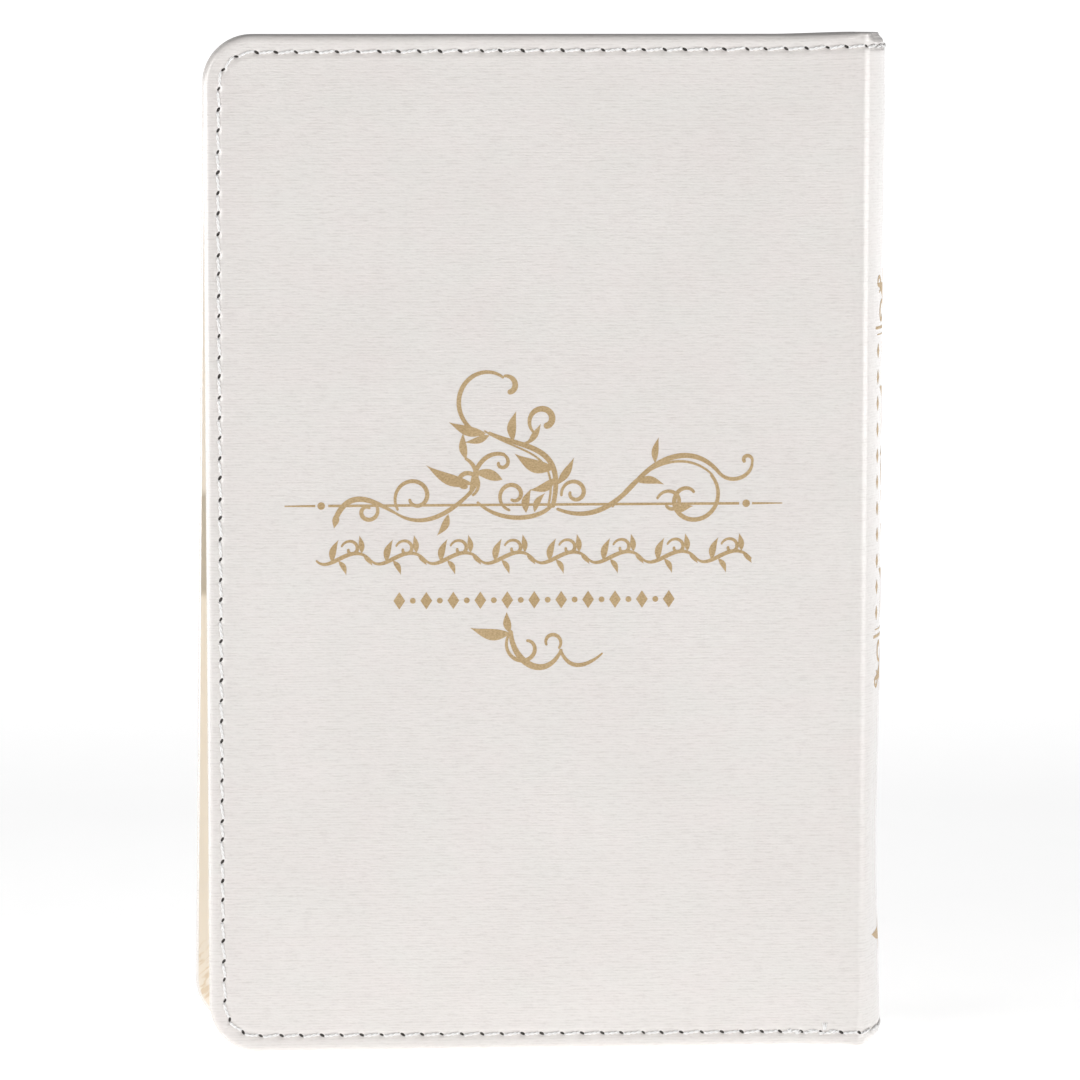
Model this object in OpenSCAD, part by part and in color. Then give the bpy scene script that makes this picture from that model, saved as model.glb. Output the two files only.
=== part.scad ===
// Small sewn prayer book in a limp imitation-leather case, standing upright on its tail edges.
// +Z runs from tail to head, +X from the fore-edge to the spine, and the back cover is at -Y.
// The origin is the bottom centre of the whole book's box. All sizes are in millimetres.

/* [Covers] */
// Height of the covers and the spine, tail to head
cover_h = 173; // [160:1:190]
// Width of each cover, hinge line to fore-edge
cover_w = 112.2; // [100:0.2:125]
// Radius of the fore-edge corners
corner_r = 8.5; // [5:0.5:9]
// Thickness of the imitation leather on the outside
leather_t = 0.7; // [0.5:0.05:0.9]
// Thickness of the bendable board in each cover
board_t = 0.9; // [0.6:0.05:1.4]
// Thickness of the leather where it is pared and turned in over the board
turnin_t = 0.4; // [0.3:0.05:0.5]
// Width of the leather that is turned in
turnin_w = 10; // [8:0.5:14]
// Thickness of the endpapers, pasted down and loose
paper_t = 0.15; // [0.1:0.01:0.2]
// Margin of leather left bare around a pasted-down endpaper
pastedown_margin = 0.6; // [0.4:0.1:2]
// Width of the cloth flange glued to each board
flange_w = 25; // [15:1:35]

/* [Text block] */
// Thickness of the pressed block of signatures
block_t = 20; // [16:0.5:24]
// Number of sewn signatures, half of them turning with each cover
signatures = 24; // [20:2:28]
// How far the covers stand out beyond the pages
square = 3; // [2.8:0.1:4]
// Radius of the page corners at the fore-edge
page_corner_r = 5; // [3:0.5:7]
// Turn of the outermost signature when its cover is folded right back, in degrees
fan_max = 70; // [50:5:70]

/* [Spine] */
// How far the rounded spine stands out beyond the hinge lines
spine_bulge = 4.5; // [4.2:0.1:5.5]
// Outer radius of the leather where it turns from a cover on to the spine
ridge_r = 1.2; // [1:0.1:1.6]
// Radius of the headcaps, where the spine's outline rounds off at head and tail
headcap_r = 1.2; // [0.8:0.1:1.4]
// Thickness of the card that stiffens the spine
inlay_t = 0.6; // [0.4:0.05:0.7]
// Diameter of the bead of each headband
headband_d = 1.5; // [1:0.1:2]

/* [Stitching] */
// Distance from one stitch to the next
stitch_pitch = 3.45; // [3:0.05:5]
// Length of the thread that shows in each stitch
stitch_l = 2.4; // [1.5:0.1:2.8]
// Width of the thread that shows
thread_w = 0.5; // [0.3:0.05:0.6]
// Height of the thread above the leather
thread_t = 0.2; // [0.1:0.05:0.3]
// Distance of the stitching from the edges
stitch_margin = 2.4; // [2.2:0.1:2.5]
// Slant of each stitch to its row, in degrees
stitch_slant = 4; // [0:1:8]

/* [Ornament] */
// Height of the stamped foil above the leather
foil_t = 0.06; // [0.04:0.01:0.1]
// Width of the finest foil lines
line_w = 0.5; // [0.3:0.05:0.8]

/* [Hidden] */
// Gap left between neighbouring parts that slide past each other
slip = 0.1;
// How far a cutting shape runs past the faces it cuts
over = 1;
half_count = signatures / 2;
pitch_t = block_t / signatures;
// Gap between one signature and the next
signature_gap = 0.04;
signature_t = pitch_t - signature_gap;

// Depths from the middle plane of the book to the faces of a cover's layers
cover_in = block_t / 2 + paper_t + 2 * slip;
turnin_in = cover_in + paper_t;
board_in = turnin_in + turnin_t;
board_out = board_in + board_t;
cover_out = board_out + leather_t;

// The spine's outer curve: a ridge arc, a large arc, and the other ridge arc
ridge_y = cover_out - ridge_r;
spine_r = (pow(spine_bulge, 2) + pow(ridge_y, 2) - pow(ridge_r, 2)) / (2 * (spine_bulge - ridge_r));
ridge_a = asin(ridge_y / (spine_r - ridge_r));
ridge_steps = 5;
// Flats on the large arc from the middle of the spine to one ridge, and how many of them each
// layer behind the leather spans, so that the layers' flats lie face to face
spine_steps = 10;
inlay_steps = 9;
turnin_steps = 7;
flat_a = ridge_a / spine_steps;

// The rows of stitches over the spine, hinge line to hinge line, with a needle hole at each line
large_run = spine_r * ridge_a * PI / 180;
half_run = large_run + ridge_r * (90 - ridge_a) * PI / 180;
spine_stitches = round(2 * half_run / stitch_pitch);
spine_pitch = 2 * half_run / spine_stitches;
thread_lift = 0.02;
thread_top = thread_lift + thread_t;
first_u = spine_stitches % 2 == 0 ? (spine_pitch - stitch_l) / 2 : 0;

// Places across the book, from the fore-edge to the spine
spine_reach = spine_bulge - spine_r + (spine_r + thread_top) * cos(first_u / spine_r * 180 / PI);
overall_w = cover_w + spine_reach;
fore_x = -overall_w / 2;
hinge_x = fore_x + cover_w;
joint_gap = 0.02;
// The folds lie this far inside the hinge lines, and each signature turns about a line within it
fold_depth = 0.6;
fold_x = hinge_x - fold_depth;
pivot_depth = 0.15;
pivot_x = fold_x - pivot_depth;
glue_gap = 0.05;
glue_x = fold_x + glue_gap;
glue_t = 0.35;
crash_x = glue_x + glue_t;
liner_x = crash_x + paper_t;
liner_t = 0.3;
page_top = cover_h - square;
// Centre of the spine's large arc
spine_c = hinge_x + spine_bulge - spine_r;

// The neck by the fold, where a signature is thinner so that it can fan out past its neighbours
neck_t = 0.2;
fan_step = fan_max / half_count;
fan_gap = 0.06;
neck_l = (signature_t - pitch_t * cos(fan_max) + fan_gap) / sin(fan_step);

// The row of stitches runs along the tail, up the fore-edge and back along the head
corner_run = (corner_r - stitch_margin) * PI / 2;
edge_run = cover_w - corner_r;
rise_run = cover_h - 2 * corner_r;
whole_run = 2 * edge_run + 2 * corner_run + rise_run;
cover_stitches = round(whole_run / stitch_pitch);
inner_thread_t = 0.15;

// Colours
leather_rgb = [0.91, 0.89, 0.87];
thread_rgb = [0.97, 0.96, 0.94];
foil_rgb = [0.76, 0.63, 0.42];
paper_rgb = [0.95, 0.93, 0.87];
board_rgb = [0.62, 0.58, 0.52];
card_rgb = [0.8, 0.76, 0.68];
cloth_rgb = [0.93, 0.93, 0.9];
glue_rgb = [0.88, 0.83, 0.68];
headband_rgb = [0.85, 0.74, 0.5];

function signature_name(i) = str("signature_", i < 10 ? "0" : "", i);

// ---- Curves ----

function arc(c, r, a0, a1, n) =
    [for (k = [0 : n]) c + r * [cos(a0 + (a1 - a0) * k / n), sin(a0 + (a1 - a0) * k / n)]];

// An arc whose radius changes evenly from r0 to r1
function curl(c, r0, r1, a0, a1, n = 18) =
    [
        for (k = [0 : n])
            let (a = a0 + (a1 - a0) * k / n, r = r0 + (r1 - r0) * k / n)
                c + r * [cos(a), sin(a)]
    ];

// A cubic sweep from p0 to p3, pulled towards p1 and p2
function sweep(p0, p1, p2, p3, n = 14) =
    [
        for (k = [0 : n])
            let (t = k / n, u = 1 - t)
                u * u * u * p0 + 3 * u * u * t * p1 + 3 * u * t * t * p2 + t * t * t * p3
    ];

function backwards(p) = [for (k = [len(p) - 1 : -1 : 0]) p[k]];

function along(p, k) =
    let (d = p[min(k + 1, len(p) - 1)] - p[max(k - 1, 0)])
        d / norm(d);

// ---- Shared shapes ----

// The children's outline as a flat sheet between two depths, seen as from the back of the book
module sheet(y0, y1) {
    translate([0, y1, 0])
        rotate([90, 0, 0])
            linear_extrude(y1 - y0)
                children();
}

// The front of the book as drawn, or the same thing mirrored on to the back
module on_side(side) {
    if (side == "front")
        children();
    else
        mirror([0, 1, 0])
            children();
}

// A cover's or a leaf's outline, from x = right out to inset from the fore-edge, head and tail
module leaf_outline(right, inset, r) {
    left = fore_x + inset + r;
    polygon(concat(
        [[right, inset]],
        arc([left, inset + r], r, 270, 180, 8),
        arc([left, cover_h - inset - r], r, 180, 90, 8),
        [[right, cover_h - inset]]
    ));
}

// Points of the spine's curve at a depth d under its outer face, from the front to the back
function spine_curve(d) =
    let (big = arc([spine_c, 0], spine_r - d, ridge_a, -ridge_a, 2 * spine_steps))
        concat(
            arc([hinge_x, ridge_y], ridge_r - d, 90, ridge_a, ridge_steps),
            [for (k = [1 : 2 * spine_steps - 1]) big[k]],
            arc([hinge_x, -ridge_y], ridge_r - d, -ridge_a, -90, ridge_steps)
        );

// Point of the spine's curve at a run u from its middle, positive to the front, and a depth d
function spine_point(u, d) =
    abs(u) < large_run
        ? let (a = u / spine_r * 180 / PI)
            [spine_c, 0] + (spine_r - d) * [cos(a), sin(a)]
        : let (a = ridge_a + (abs(u) - large_run) / ridge_r * 180 / PI, s = sign(u))
            [hinge_x, s * ridge_y] + (ridge_r - d) * [cos(a), s * sin(a)];

// Part of the large arc only, out to a number of its flats on both sides, between two depths
module spine_band(d0, d1, steps) {
    a = steps * flat_a;
    polygon(concat(
        arc([spine_c, 0], spine_r - d0, a, -a, 2 * steps),
        arc([spine_c, 0], spine_r - d1, -a, a, 2 * steps)
    ));
}

// ---- Spine ----

module headcap_outline() {
    right = hinge_x + spine_bulge;
    polygon(concat(
        [[hinge_x - over, 0]],
        arc([right - headcap_r, headcap_r], headcap_r, 270, 360, 6),
        arc([right - headcap_r, cover_h - headcap_r], headcap_r, 0, 90, 6),
        [[hinge_x - over, cover_h]]
    ));
}

// The leather turned in over one end of the inlay, drawn at the tail
module spine_turnin() {
    linear_extrude(leather_t)
        spine_band(leather_t, leather_t + inlay_t + turnin_t, turnin_steps);
    linear_extrude(turnin_w)
        spine_band(leather_t + inlay_t, leather_t + inlay_t + turnin_t, turnin_steps);
}

module spine_leather() {
    color(leather_rgb)
        intersection() {
            union() {
                linear_extrude(cover_h)
                    polygon(concat(spine_curve(0), backwards(spine_curve(leather_t))));
                spine_turnin();
                translate([0, 0, cover_h])
                    mirror([0, 0, 1])
                        spine_turnin();
            }
            sheet(-cover_out - over, cover_out + over)
                headcap_outline();
        }
}

module spine_inlay() {
    color(card_rgb)
        translate([0, 0, leather_t])
            linear_extrude(cover_h - 2 * leather_t)
                spine_band(leather_t, leather_t + inlay_t, inlay_steps);
}

// One stitch that follows the spine's curve, about the run u
module spine_stitch(u) {
    n = 10;
    runs = [for (k = [0 : n]) u + (k / n - 0.5) * stitch_l];
    linear_extrude(thread_w)
        polygon(concat(
            [for (k = [0 : n]) spine_point(runs[k], -thread_lift)],
            [for (k = [n : -1 : 0]) spine_point(runs[k], -thread_top)]
        ));
}

module spine_stitching() {
    color(thread_rgb)
        for (z = [stitch_margin, cover_h - stitch_margin])
            for (k = [0 : spine_stitches - 1])
                translate([0, 0, z - thread_w / 2])
                    spine_stitch((k + 0.5) * spine_pitch - half_run);
}

// Places of the sewing stations, where thread links one fold to the next
station_count = 7;
station_w = 0.3;
sewing_r = 0.12;
function station_z(k) = square + (page_top - square) * k / (station_count + 1);

module sewing_thread() {
    reach = block_t / 2 - pitch_t / 2;
    color(thread_rgb)
        for (k = [1 : station_count])
            translate([glue_x + station_w / 2, -reach, station_z(k)])
                rotate([-90, 0, 0])
                    cylinder(h = 2 * reach, r = sewing_r, $fn = 8);
}

// The glue stops this far short of the folds' ends
glue_margin = 1;

module spine_glue() {
    reach = block_t / 2 - slip;
    color(glue_rgb)
        difference() {
            translate([glue_x, -reach, square + glue_margin])
                cube([glue_t, 2 * reach, page_top - square - 2 * glue_margin]);
            for (k = [1 : station_count])
                translate([glue_x - over, -reach - over, station_z(k) - station_w / 2])
                    cube([over + station_w, 2 * (reach + over), station_w]);
        }
}

module spine_crash_cloth() {
    reach = block_t / 2 - slip;
    color(cloth_rgb)
        translate([crash_x, -reach, turnin_w])
            cube([paper_t, 2 * reach, cover_h - 2 * turnin_w]);
}

// Half the width of the liner and the headbands
band_reach = block_t / 2 - 0.5;
// Length of a headband's tongue down the back, and the gap between its end and the liner
tongue_l = 11.5;
tongue_gap = 0.5;

module spine_liner() {
    top = page_top - tongue_l - tongue_gap;
    color(card_rgb)
        translate([liner_x, -band_reach, cover_h - top])
            cube([liner_t, 2 * band_reach, 2 * top - cover_h]);
}

// A rolled bead over the folds, with a tongue glued down the back of the block; drawn at the head
module headband() {
    web_t = 0.6;
    bead_x = fold_x - 0.3;
    bead_z = page_top + 0.15 + headband_d / 2;
    color(headband_rgb) {
        translate([bead_x, -band_reach, bead_z])
            rotate([-90, 0, 0])
                cylinder(h = 2 * band_reach, d = headband_d, $fn = 24);
        translate([bead_x, -band_reach, bead_z - web_t / 2])
            cube([liner_x + liner_t - bead_x, 2 * band_reach, web_t]);
        translate([liner_x, -band_reach, page_top - tongue_l])
            cube([liner_t, 2 * band_reach, bead_z - page_top + tongue_l]);
    }
}

module tailband() {
    translate([0, 0, cover_h])
        mirror([0, 0, 1])
            headband();
}

// ---- Covers ----

module cover_leather(side) {
    color(leather_rgb)
        on_side(side)
            difference() {
                sheet(turnin_in, cover_out)
                    leaf_outline(hinge_x - joint_gap, 0, corner_r);
                sheet(board_in, board_out)
                    leaf_outline(hinge_x + over, leather_t, corner_r - leather_t);
                sheet(turnin_in - over, board_out)
                    leaf_outline(hinge_x + over, turnin_w, turnin_r);
            }
}

// Radius of the turn-in's inner corners
turnin_r = 2;

// The board starts this far from the hinge line, the cloth farther, and the card where the cloth ends
board_start = 1.3;
flange_start = 2.5;
card_gap = 0.3;
card_x = hinge_x - flange_start - flange_w - card_gap;
// Gap around the cloth and the card within the turn-in
flange_gap = 0.5;
infill_gap = 0.2;

module cover_board(side) {
    color(board_rgb)
        on_side(side)
            sheet(board_in, board_out)
                leaf_outline(hinge_x - board_start, leather_t, corner_r - leather_t);
}

module crash_flange(side) {
    color(cloth_rgb)
        on_side(side)
            translate([hinge_x - flange_start - flange_w, turnin_in, turnin_w + flange_gap])
                cube([flange_w, turnin_t, cover_h - 2 * (turnin_w + flange_gap)]);
}

module infill_card(side) {
    color(card_rgb)
        on_side(side)
            sheet(turnin_in, board_in)
                leaf_outline(card_x, turnin_w + infill_gap, turnin_r - infill_gap);
}

// The pasted-down endpaper and the flyleaf start this far from the hinge line and the folds' pivots
pastedown_start = 0.5;
flyleaf_start = 1.2;

module pastedown(side) {
    color(paper_rgb)
        on_side(side)
            sheet(cover_in, turnin_in)
                leaf_outline(hinge_x - pastedown_start, pastedown_margin,
                    corner_r - pastedown_margin);
}

// Place and direction [x, z, degrees] at a distance s along the row of stitches
function stitch_at(s) =
    let (
        r = corner_r - stitch_margin,
        c = [fore_x + corner_r, corner_r],
        top = [fore_x + corner_r, cover_h - corner_r],
        s1 = s - edge_run,
        s2 = s1 - corner_run,
        s3 = s2 - rise_run,
        s4 = s3 - corner_run,
        a1 = 270 - s1 / r * 180 / PI,
        a3 = 180 - s3 / r * 180 / PI
    )
        s1 < 0 ? [hinge_x - s, stitch_margin, 180]
        : s2 < 0 ? [c.x + r * cos(a1), c.y + r * sin(a1), a1 - 90]
        : s3 < 0 ? [fore_x + stitch_margin, corner_r + s2, 90]
        : s4 < 0 ? [top.x + r * cos(a3), top.y + r * sin(a3), a3 - 90]
        : [top.x + s4, cover_h - stitch_margin, 0];

module stitch(place, y, t) {
    translate([place[0], y, place[1]])
        rotate([0, stitch_slant - place[2], 0])
            translate([-stitch_l / 2, 0, -thread_w / 2])
                cube([stitch_l, t, thread_w]);
}

module cover_stitching(side) {
    color(thread_rgb)
        on_side(side)
            for (k = [0 : cover_stitches - 1]) {
                place = stitch_at((k + 0.5) * whole_run / cover_stitches);
                stitch(place, cover_out, thread_t);
                stitch(place, cover_in - inner_thread_t, inner_thread_t);
            }
}

// ---- Foil ornament, drawn flat about its own centre ----

// A line along the points p, as wide as w0 at one end and w1 at the other, fuller between them
module stroke(p, w0, w1) {
    n = len(p) - 1;
    belly = 0.25;
    side = [
        for (k = [0 : n])
            let (w = w0 + (w1 - w0) * k / n + belly * sin(180 * k / n), d = along(p, k))
                w / 2 * [-d.y, d.x]
    ];
    polygon(concat(
        [for (k = [0 : n]) p[k] + side[k]],
        [for (k = [n : -1 : 0]) p[k] - side[k]]
    ));
}

// A pointed leaf that starts at its stalk
module foil_leaf(at, l, w, a) {
    upper = [for (k = [0 : 8]) [l * k / 8, w / 2 * pow(sin(180 * pow(k / 8, 0.8)), 1.2)]];
    translate(at)
        rotate(a)
            polygon(concat(upper, [for (k = [7 : -1 : 1]) [upper[k].x, -0.8 * upper[k].y]]));
}

module foil_dot(at, d) {
    translate(at)
        circle(d = d, $fn = 10);
}

module foil_lozenge(at, w, h) {
    translate(at)
        polygon([[-w / 2, 0], [0, h / 2], [w / 2, 0], [0, -h / 2]]);
}

// A rule with a dot and a tapering finial at each end
module foil_rule(l) {
    square([l, line_w], center = true);
    for (s = [-1, 1]) {
        foil_dot([s * (l / 2 + 1.4), 0], 1.2);
        polygon([
            [s * (l / 2 + 2.4), line_w / 3],
            [s * (l / 2 + 9), 0],
            [s * (l / 2 + 2.4), -line_w / 3]
        ]);
    }
}

// The back cover's scrolls above the rule
module back_scrolls() {
    // The tall stem and its curl
    stroke(sweep([3, 0.6], [5, 13], [-16, 8], [-10.5, 20]), 0.5, 0.5);
    stroke(curl([-7.4, 19.4], 3.2, 1.6, 170, -60), 0.5, 0.7);
    // Curls that roll along the rule
    stroke(curl([-24, 2.2], 4.6, 0.9, 210, -190), 0.5, 0.5);
    stroke(curl([-8.5, 3.6], 3.8, 0.9, 250, -130), 0.5, 0.5);
    stroke(curl([9, 2.6], 2.6, 0.8, -110, 250), 0.5, 0.5);
    // The arch on the right with its curl
    stroke(sweep([11, -0.6], [19, 3], [24, 15], [34, 8.5]), 0.6, 0.6);
    stroke(curl([29.8, 5], 5.4, 1.1, 40, -330), 0.6, 0.5);
    // Leaves
    foil_leaf([-11, 13.2], 7, 2, 165);
    foil_leaf([-6.2, 11.8], 6, 2, 75);
    foil_leaf([0.6, 8.6], 7.5, 2.6, 35);
    foil_leaf([-15.5, 4.5], 8, 2.4, 155);
    foil_leaf([-13.2, 5.6], 5.5, 1.8, 100);
    foil_leaf([4.4, 5.2], 5, 1.6, 60);
    foil_leaf([24, 9.8], 4.4, 1.4, 80);
    foil_leaf([18.2, 4.4], 5, 1.6, -8);
}

// A wave of small curls, which runs as a line of decoration
module curl_row(l, count) {
    step = l / count;
    for (k = [0 : count - 1])
        translate([(k + 0.5) * step - l / 2, 0])
            mirror([0, k % 2, 0]) {
                stroke(curl([0, -0.3], step * 0.46, 0.8, 185, -120), 0.4, 0.4);
                foil_leaf([step * 0.05, 1.5], step * 0.5, 1.1, 40);
            }
}

// Lozenges with a dot between each two
module bead_row(l, count) {
    step = l / (count - 1);
    for (k = [0 : count - 1])
        foil_lozenge([k * step - l / 2, 0], 2.2, 3);
    for (k = [0 : count - 2])
        foil_dot([(k + 0.5) * step - l / 2, 0], 1);
}

module leaf_sprig() {
    stroke(curl([0, 0], 3.6, 1, 140, 420), 0.5, 0.5);
    stroke(sweep([2.6, -2.6], [6, -4.6], [8, -3], [10.4, -1.4]), 0.6, 0.3);
    foil_leaf([-2.8, 2.2], 7, 2.2, 175);
    foil_leaf([-2.8, 2.4], 4.6, 1.6, 100);
}

// Heights of the ornament's rows above the tail, and its middle across the cover
ornament_x = hinge_x - cover_w / 2 - 0.4;
rule_z = 92.6;
curl_row_z = 83.8;
bead_row_z = 76.3;
sprig_z = 68.6;
rule_l = 66;

module back_ornament() {
    color(foil_rgb)
        sheet(-cover_out - foil_t, -cover_out) {
            translate([ornament_x, rule_z]) {
                foil_rule(rule_l);
                back_scrolls();
            }
            translate([ornament_x, curl_row_z])
                curl_row(72, 12);
            translate([ornament_x, bead_row_z])
                bead_row(46, 10);
            translate([ornament_x - 3, sprig_z])
                leaf_sprig();
        }
}

// The front cover's device: a plain cross in a ring of leaves, between two rules
module front_device() {
    ring_r = 20;
    leaves = 20;
    square([2.4, 24], center = true);
    translate([0, 3.6])
        square([14, 2.4], center = true);
    for (k = [0 : leaves - 1]) {
        a = 360 * (k + 0.5) / leaves;
        foil_leaf(ring_r * [cos(a), sin(a)], 6.4, 2, a + 62);
    }
}

module front_ornament() {
    color(foil_rgb)
        sheet(cover_out, cover_out + foil_t) {
            translate([ornament_x, cover_h * 0.6])
                front_device();
            for (z = [cover_h * 0.4, cover_h * 0.8])
                translate([ornament_x, z])
                    foil_rule(40);
            translate([ornament_x, cover_h * 0.36])
                bead_row(24, 6);
        }
}

// The spine's ornament, drawn with its long direction upright and its middle at x = 0
module spine_device() {
    w = 9;
    for (z = [70.1, 123.4])
        translate([0, z])
            square([w, line_w], center = true);
    for (k = [0 : 8])
        foil_lozenge([0, 77 + 5 * k], 3, 4);
    for (z = [64, 129])
        for (s = [-1, 1])
            foil_leaf([0, z], 5, 1.8, s > 0 ? 40 : 140);
    foil_lozenge([0, 18.4], 5, 8);
}

module spine_ornament() {
    color(foil_rgb)
        intersection() {
            linear_extrude(cover_h)
                spine_band(-foil_t, 0, inlay_steps);
            translate([hinge_x, 0, 0])
                rotate([90, 0, 90])
                    linear_extrude(2 * spine_bulge)
                        spine_device();
        }
}

// ---- Text block ----

module flyleaf(side) {
    color(paper_rgb)
        on_side(side)
            sheet(cover_in - slip - paper_t, cover_in - slip)
                leaf_outline(pivot_x - flyleaf_start, square, page_corner_r);
}

function signature_y(i) = block_t / 2 - (i - 0.5) * pitch_t;

// Section through a signature: a round fold about the pivot, a tapering neck, then full thickness
module signature_section() {
    full_x = pivot_x - neck_l;
    polygon(concat(
        arc([pivot_x, 0], neck_t / 2, -90, 90, 6),
        [
            [full_x, signature_t / 2],
            [fore_x, signature_t / 2],
            [fore_x, -signature_t / 2],
            [full_x, -signature_t / 2]
        ]
    ));
}

module signature(i) {
    color(paper_rgb)
        intersection() {
            translate([0, signature_y(i), 0])
                linear_extrude(cover_h)
                    signature_section();
            sheet(-block_t, block_t)
                leaf_outline(hinge_x, square, page_corner_r);
        }
}

// ---- Nodes ----

spine_leather();
spine_inlay();
spine_stitching();
spine_ornament();
spine_glue();
spine_crash_cloth();
spine_liner();
sewing_thread();
headband();
tailband();
front_ornament();  // front_cover_ornament
back_ornament();  // back_cover_ornament
for (side = ["front", "back"]) {
    cover_leather(side);
    cover_board(side);
    infill_card(side);
    crash_flange(side);
    pastedown(side);
    cover_stitching(side);
    flyleaf(side);
}
for (i = [1 : signatures])
    signature(i);
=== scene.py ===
import bpy, bmesh
import math, random
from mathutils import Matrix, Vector, noise
from mathutils.geometry import delaunay_2d_cdt


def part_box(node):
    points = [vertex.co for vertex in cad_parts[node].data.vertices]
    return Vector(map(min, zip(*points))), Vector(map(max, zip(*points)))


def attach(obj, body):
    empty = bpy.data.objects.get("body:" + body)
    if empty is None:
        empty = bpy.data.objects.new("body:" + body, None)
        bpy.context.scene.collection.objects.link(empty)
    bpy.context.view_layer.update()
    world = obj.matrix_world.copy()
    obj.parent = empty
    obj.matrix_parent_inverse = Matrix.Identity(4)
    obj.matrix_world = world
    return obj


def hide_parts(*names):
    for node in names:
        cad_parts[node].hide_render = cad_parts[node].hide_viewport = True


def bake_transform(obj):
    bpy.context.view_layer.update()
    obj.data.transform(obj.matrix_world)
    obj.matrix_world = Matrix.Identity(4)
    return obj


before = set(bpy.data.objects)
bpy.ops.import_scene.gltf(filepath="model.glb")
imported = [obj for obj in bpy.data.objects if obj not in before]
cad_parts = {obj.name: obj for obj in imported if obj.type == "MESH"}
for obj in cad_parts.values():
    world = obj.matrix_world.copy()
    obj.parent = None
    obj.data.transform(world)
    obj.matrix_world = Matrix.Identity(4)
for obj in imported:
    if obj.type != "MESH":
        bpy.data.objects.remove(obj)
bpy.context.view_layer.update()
scene = bpy.context.scene
rng = random.Random(24)

# All lengths below are in millimetres, and M turns them into metres.
M = 0.001


def box_mm(node):
    lo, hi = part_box(node)
    return lo / M, hi / M


# ---- The same numbers as in the part's source ----
CORNER_R = 8.5
TURNIN_T = 0.4
TURNIN_W = 10.0
PAGE_CORNER_R = 5.0
INLAY_T = 0.6
STITCH_PITCH = 3.45
STITCH_MARGIN = 2.4
JOINT_GAP = 0.02
SIGNATURES = 24

# ---- Sizes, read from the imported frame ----
cover_lo, cover_hi = box_mm("back_cover_leather")
_, spine_hi = box_mm("spine_leather")
_, paste_hi = box_mm("back_cover_pastedown")
board_lo, _ = box_mm("back_cover_board")
FORE_X = cover_lo.x
HINGE_X = cover_hi.x + JOINT_GAP
COVER_W = HINGE_X - FORE_X
COVER_H = cover_hi.z
COVER_OUT = -cover_lo.y
TURNIN_IN = -cover_hi.y
COVER_IN = -paste_hi.y
COVER_T = COVER_OUT - TURNIN_IN
PAPER_T = TURNIN_IN - COVER_IN
BULGE = spine_hi.x - HINGE_X
LEATHER_T = COVER_OUT + board_lo.y
SIDES = {"front": 1, "back": -1}

# ---- The ridge beside the spine, rounder than in the source ----
RIDGE_R = 2.0
RIDGE_IN = 0.9  # it begins to round this far before the hinge line
RIDGE_X = HINGE_X - RIDGE_IN
RIDGE_Y = COVER_OUT - RIDGE_R
SPINE_R = ((BULGE + RIDGE_IN)**2 + RIDGE_Y**2 - RIDGE_R**2) / (2 * (BULGE + RIDGE_IN - RIDGE_R))
SPINE_C = HINGE_X + BULGE - SPINE_R
RIDGE_A = math.asin(RIDGE_Y / (SPINE_R - RIDGE_R))
RIDGE_RUN = RIDGE_R * (math.pi / 2 - RIDGE_A)
LARGE_RUN = SPINE_R * RIDGE_A
HALF_RUN = RIDGE_RUN + LARGE_RUN - RIDGE_IN
WHOLE = COVER_W + HALF_RUN  # from the fore-edge over the ridge to the middle of the spine


def smooth(a, b, t):
    """0 at a, 1 at b, and an even curve between them."""
    t = min(1.0, max(0.0, (t - a) / (b - a)))
    return t * t * (3 - 2 * t)


def bell(x, w):
    """1 at 0, falling away evenly over the width w on both sides."""
    return math.exp(-((x / w) ** 2))


def mix(a, b, t):
    return a + (b - a) * t


def read_off(table, x, ease=False):
    """The value at x from a table of (place, value), straight or eased between its rows."""
    for (x0, v0), (x1, v1) in zip(table, table[1:]):
        if x <= x1:
            return mix(v0, v1, smooth(x0, x1, x) if ease else max(0.0, (x - x0) / (x1 - x0)))
    return table[-1][1]


# ---- The cover's section: a run s from the fore-edge, over the ridge, to the middle of the spine ----
def section(s):
    """Point (x, y) and outward normal of the outer face at a run s, with y positive."""
    r = s - COVER_W + RIDGE_IN
    if r <= 0:
        return FORE_X + s, COVER_OUT, 0.0, 1.0
    if r < RIDGE_RUN:
        a = math.pi / 2 - r / RIDGE_R
        return RIDGE_X + RIDGE_R * math.cos(a), RIDGE_Y + RIDGE_R * math.sin(a), math.cos(a), math.sin(a)
    a = RIDGE_A - (r - RIDGE_RUN) / SPINE_R
    return SPINE_C + SPINE_R * math.cos(a), SPINE_R * math.sin(a), math.cos(a), math.sin(a)


# The spine's rounding is uneven, and slackest a little above the tail: (height, change of bulge)
BULGE_AT = [(0, 0.2), (8, 0.1), (14, -0.1), (22, -0.4), (34, -0.6), (60, -0.28), (86, -0.15), (98, -0.22),
            (134, -0.18), (146, 0.0), (158, 0.08), (173, -0.05)]


def spine_swell(s, z):
    return read_off(BULGE_AT, z, ease=True) * smooth(COVER_W + 0.8, COVER_W + 7.0, s)


# The front cover has crept outward at its fore-edge, more at the tail than at the head.
CREEP_MID = 1.3
CREEP_SLOPE = math.tan(math.radians(0.8))


def creep(side, s, z):
    if side != "front" or s >= COVER_W:
        return 0.0
    return -(CREEP_MID + CREEP_SLOPE * (COVER_H / 2 - z)) * (COVER_W - s) / COVER_W


# The leather stands out a little at head and tail, most of all on the ridge beside the spine.
STAND = 0.3
STAND_RIDGE = 0.35


def stand(s, z):
    """How far the leather stands out beyond the plain outline, upward at the head and down at the tail."""
    more = STAND + STAND_RIDGE * smooth(COVER_W - 14, COVER_W + 1, s)
    return more * (smooth(COVER_H - 25, COVER_H, z) - smooth(25, 0, z))


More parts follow.
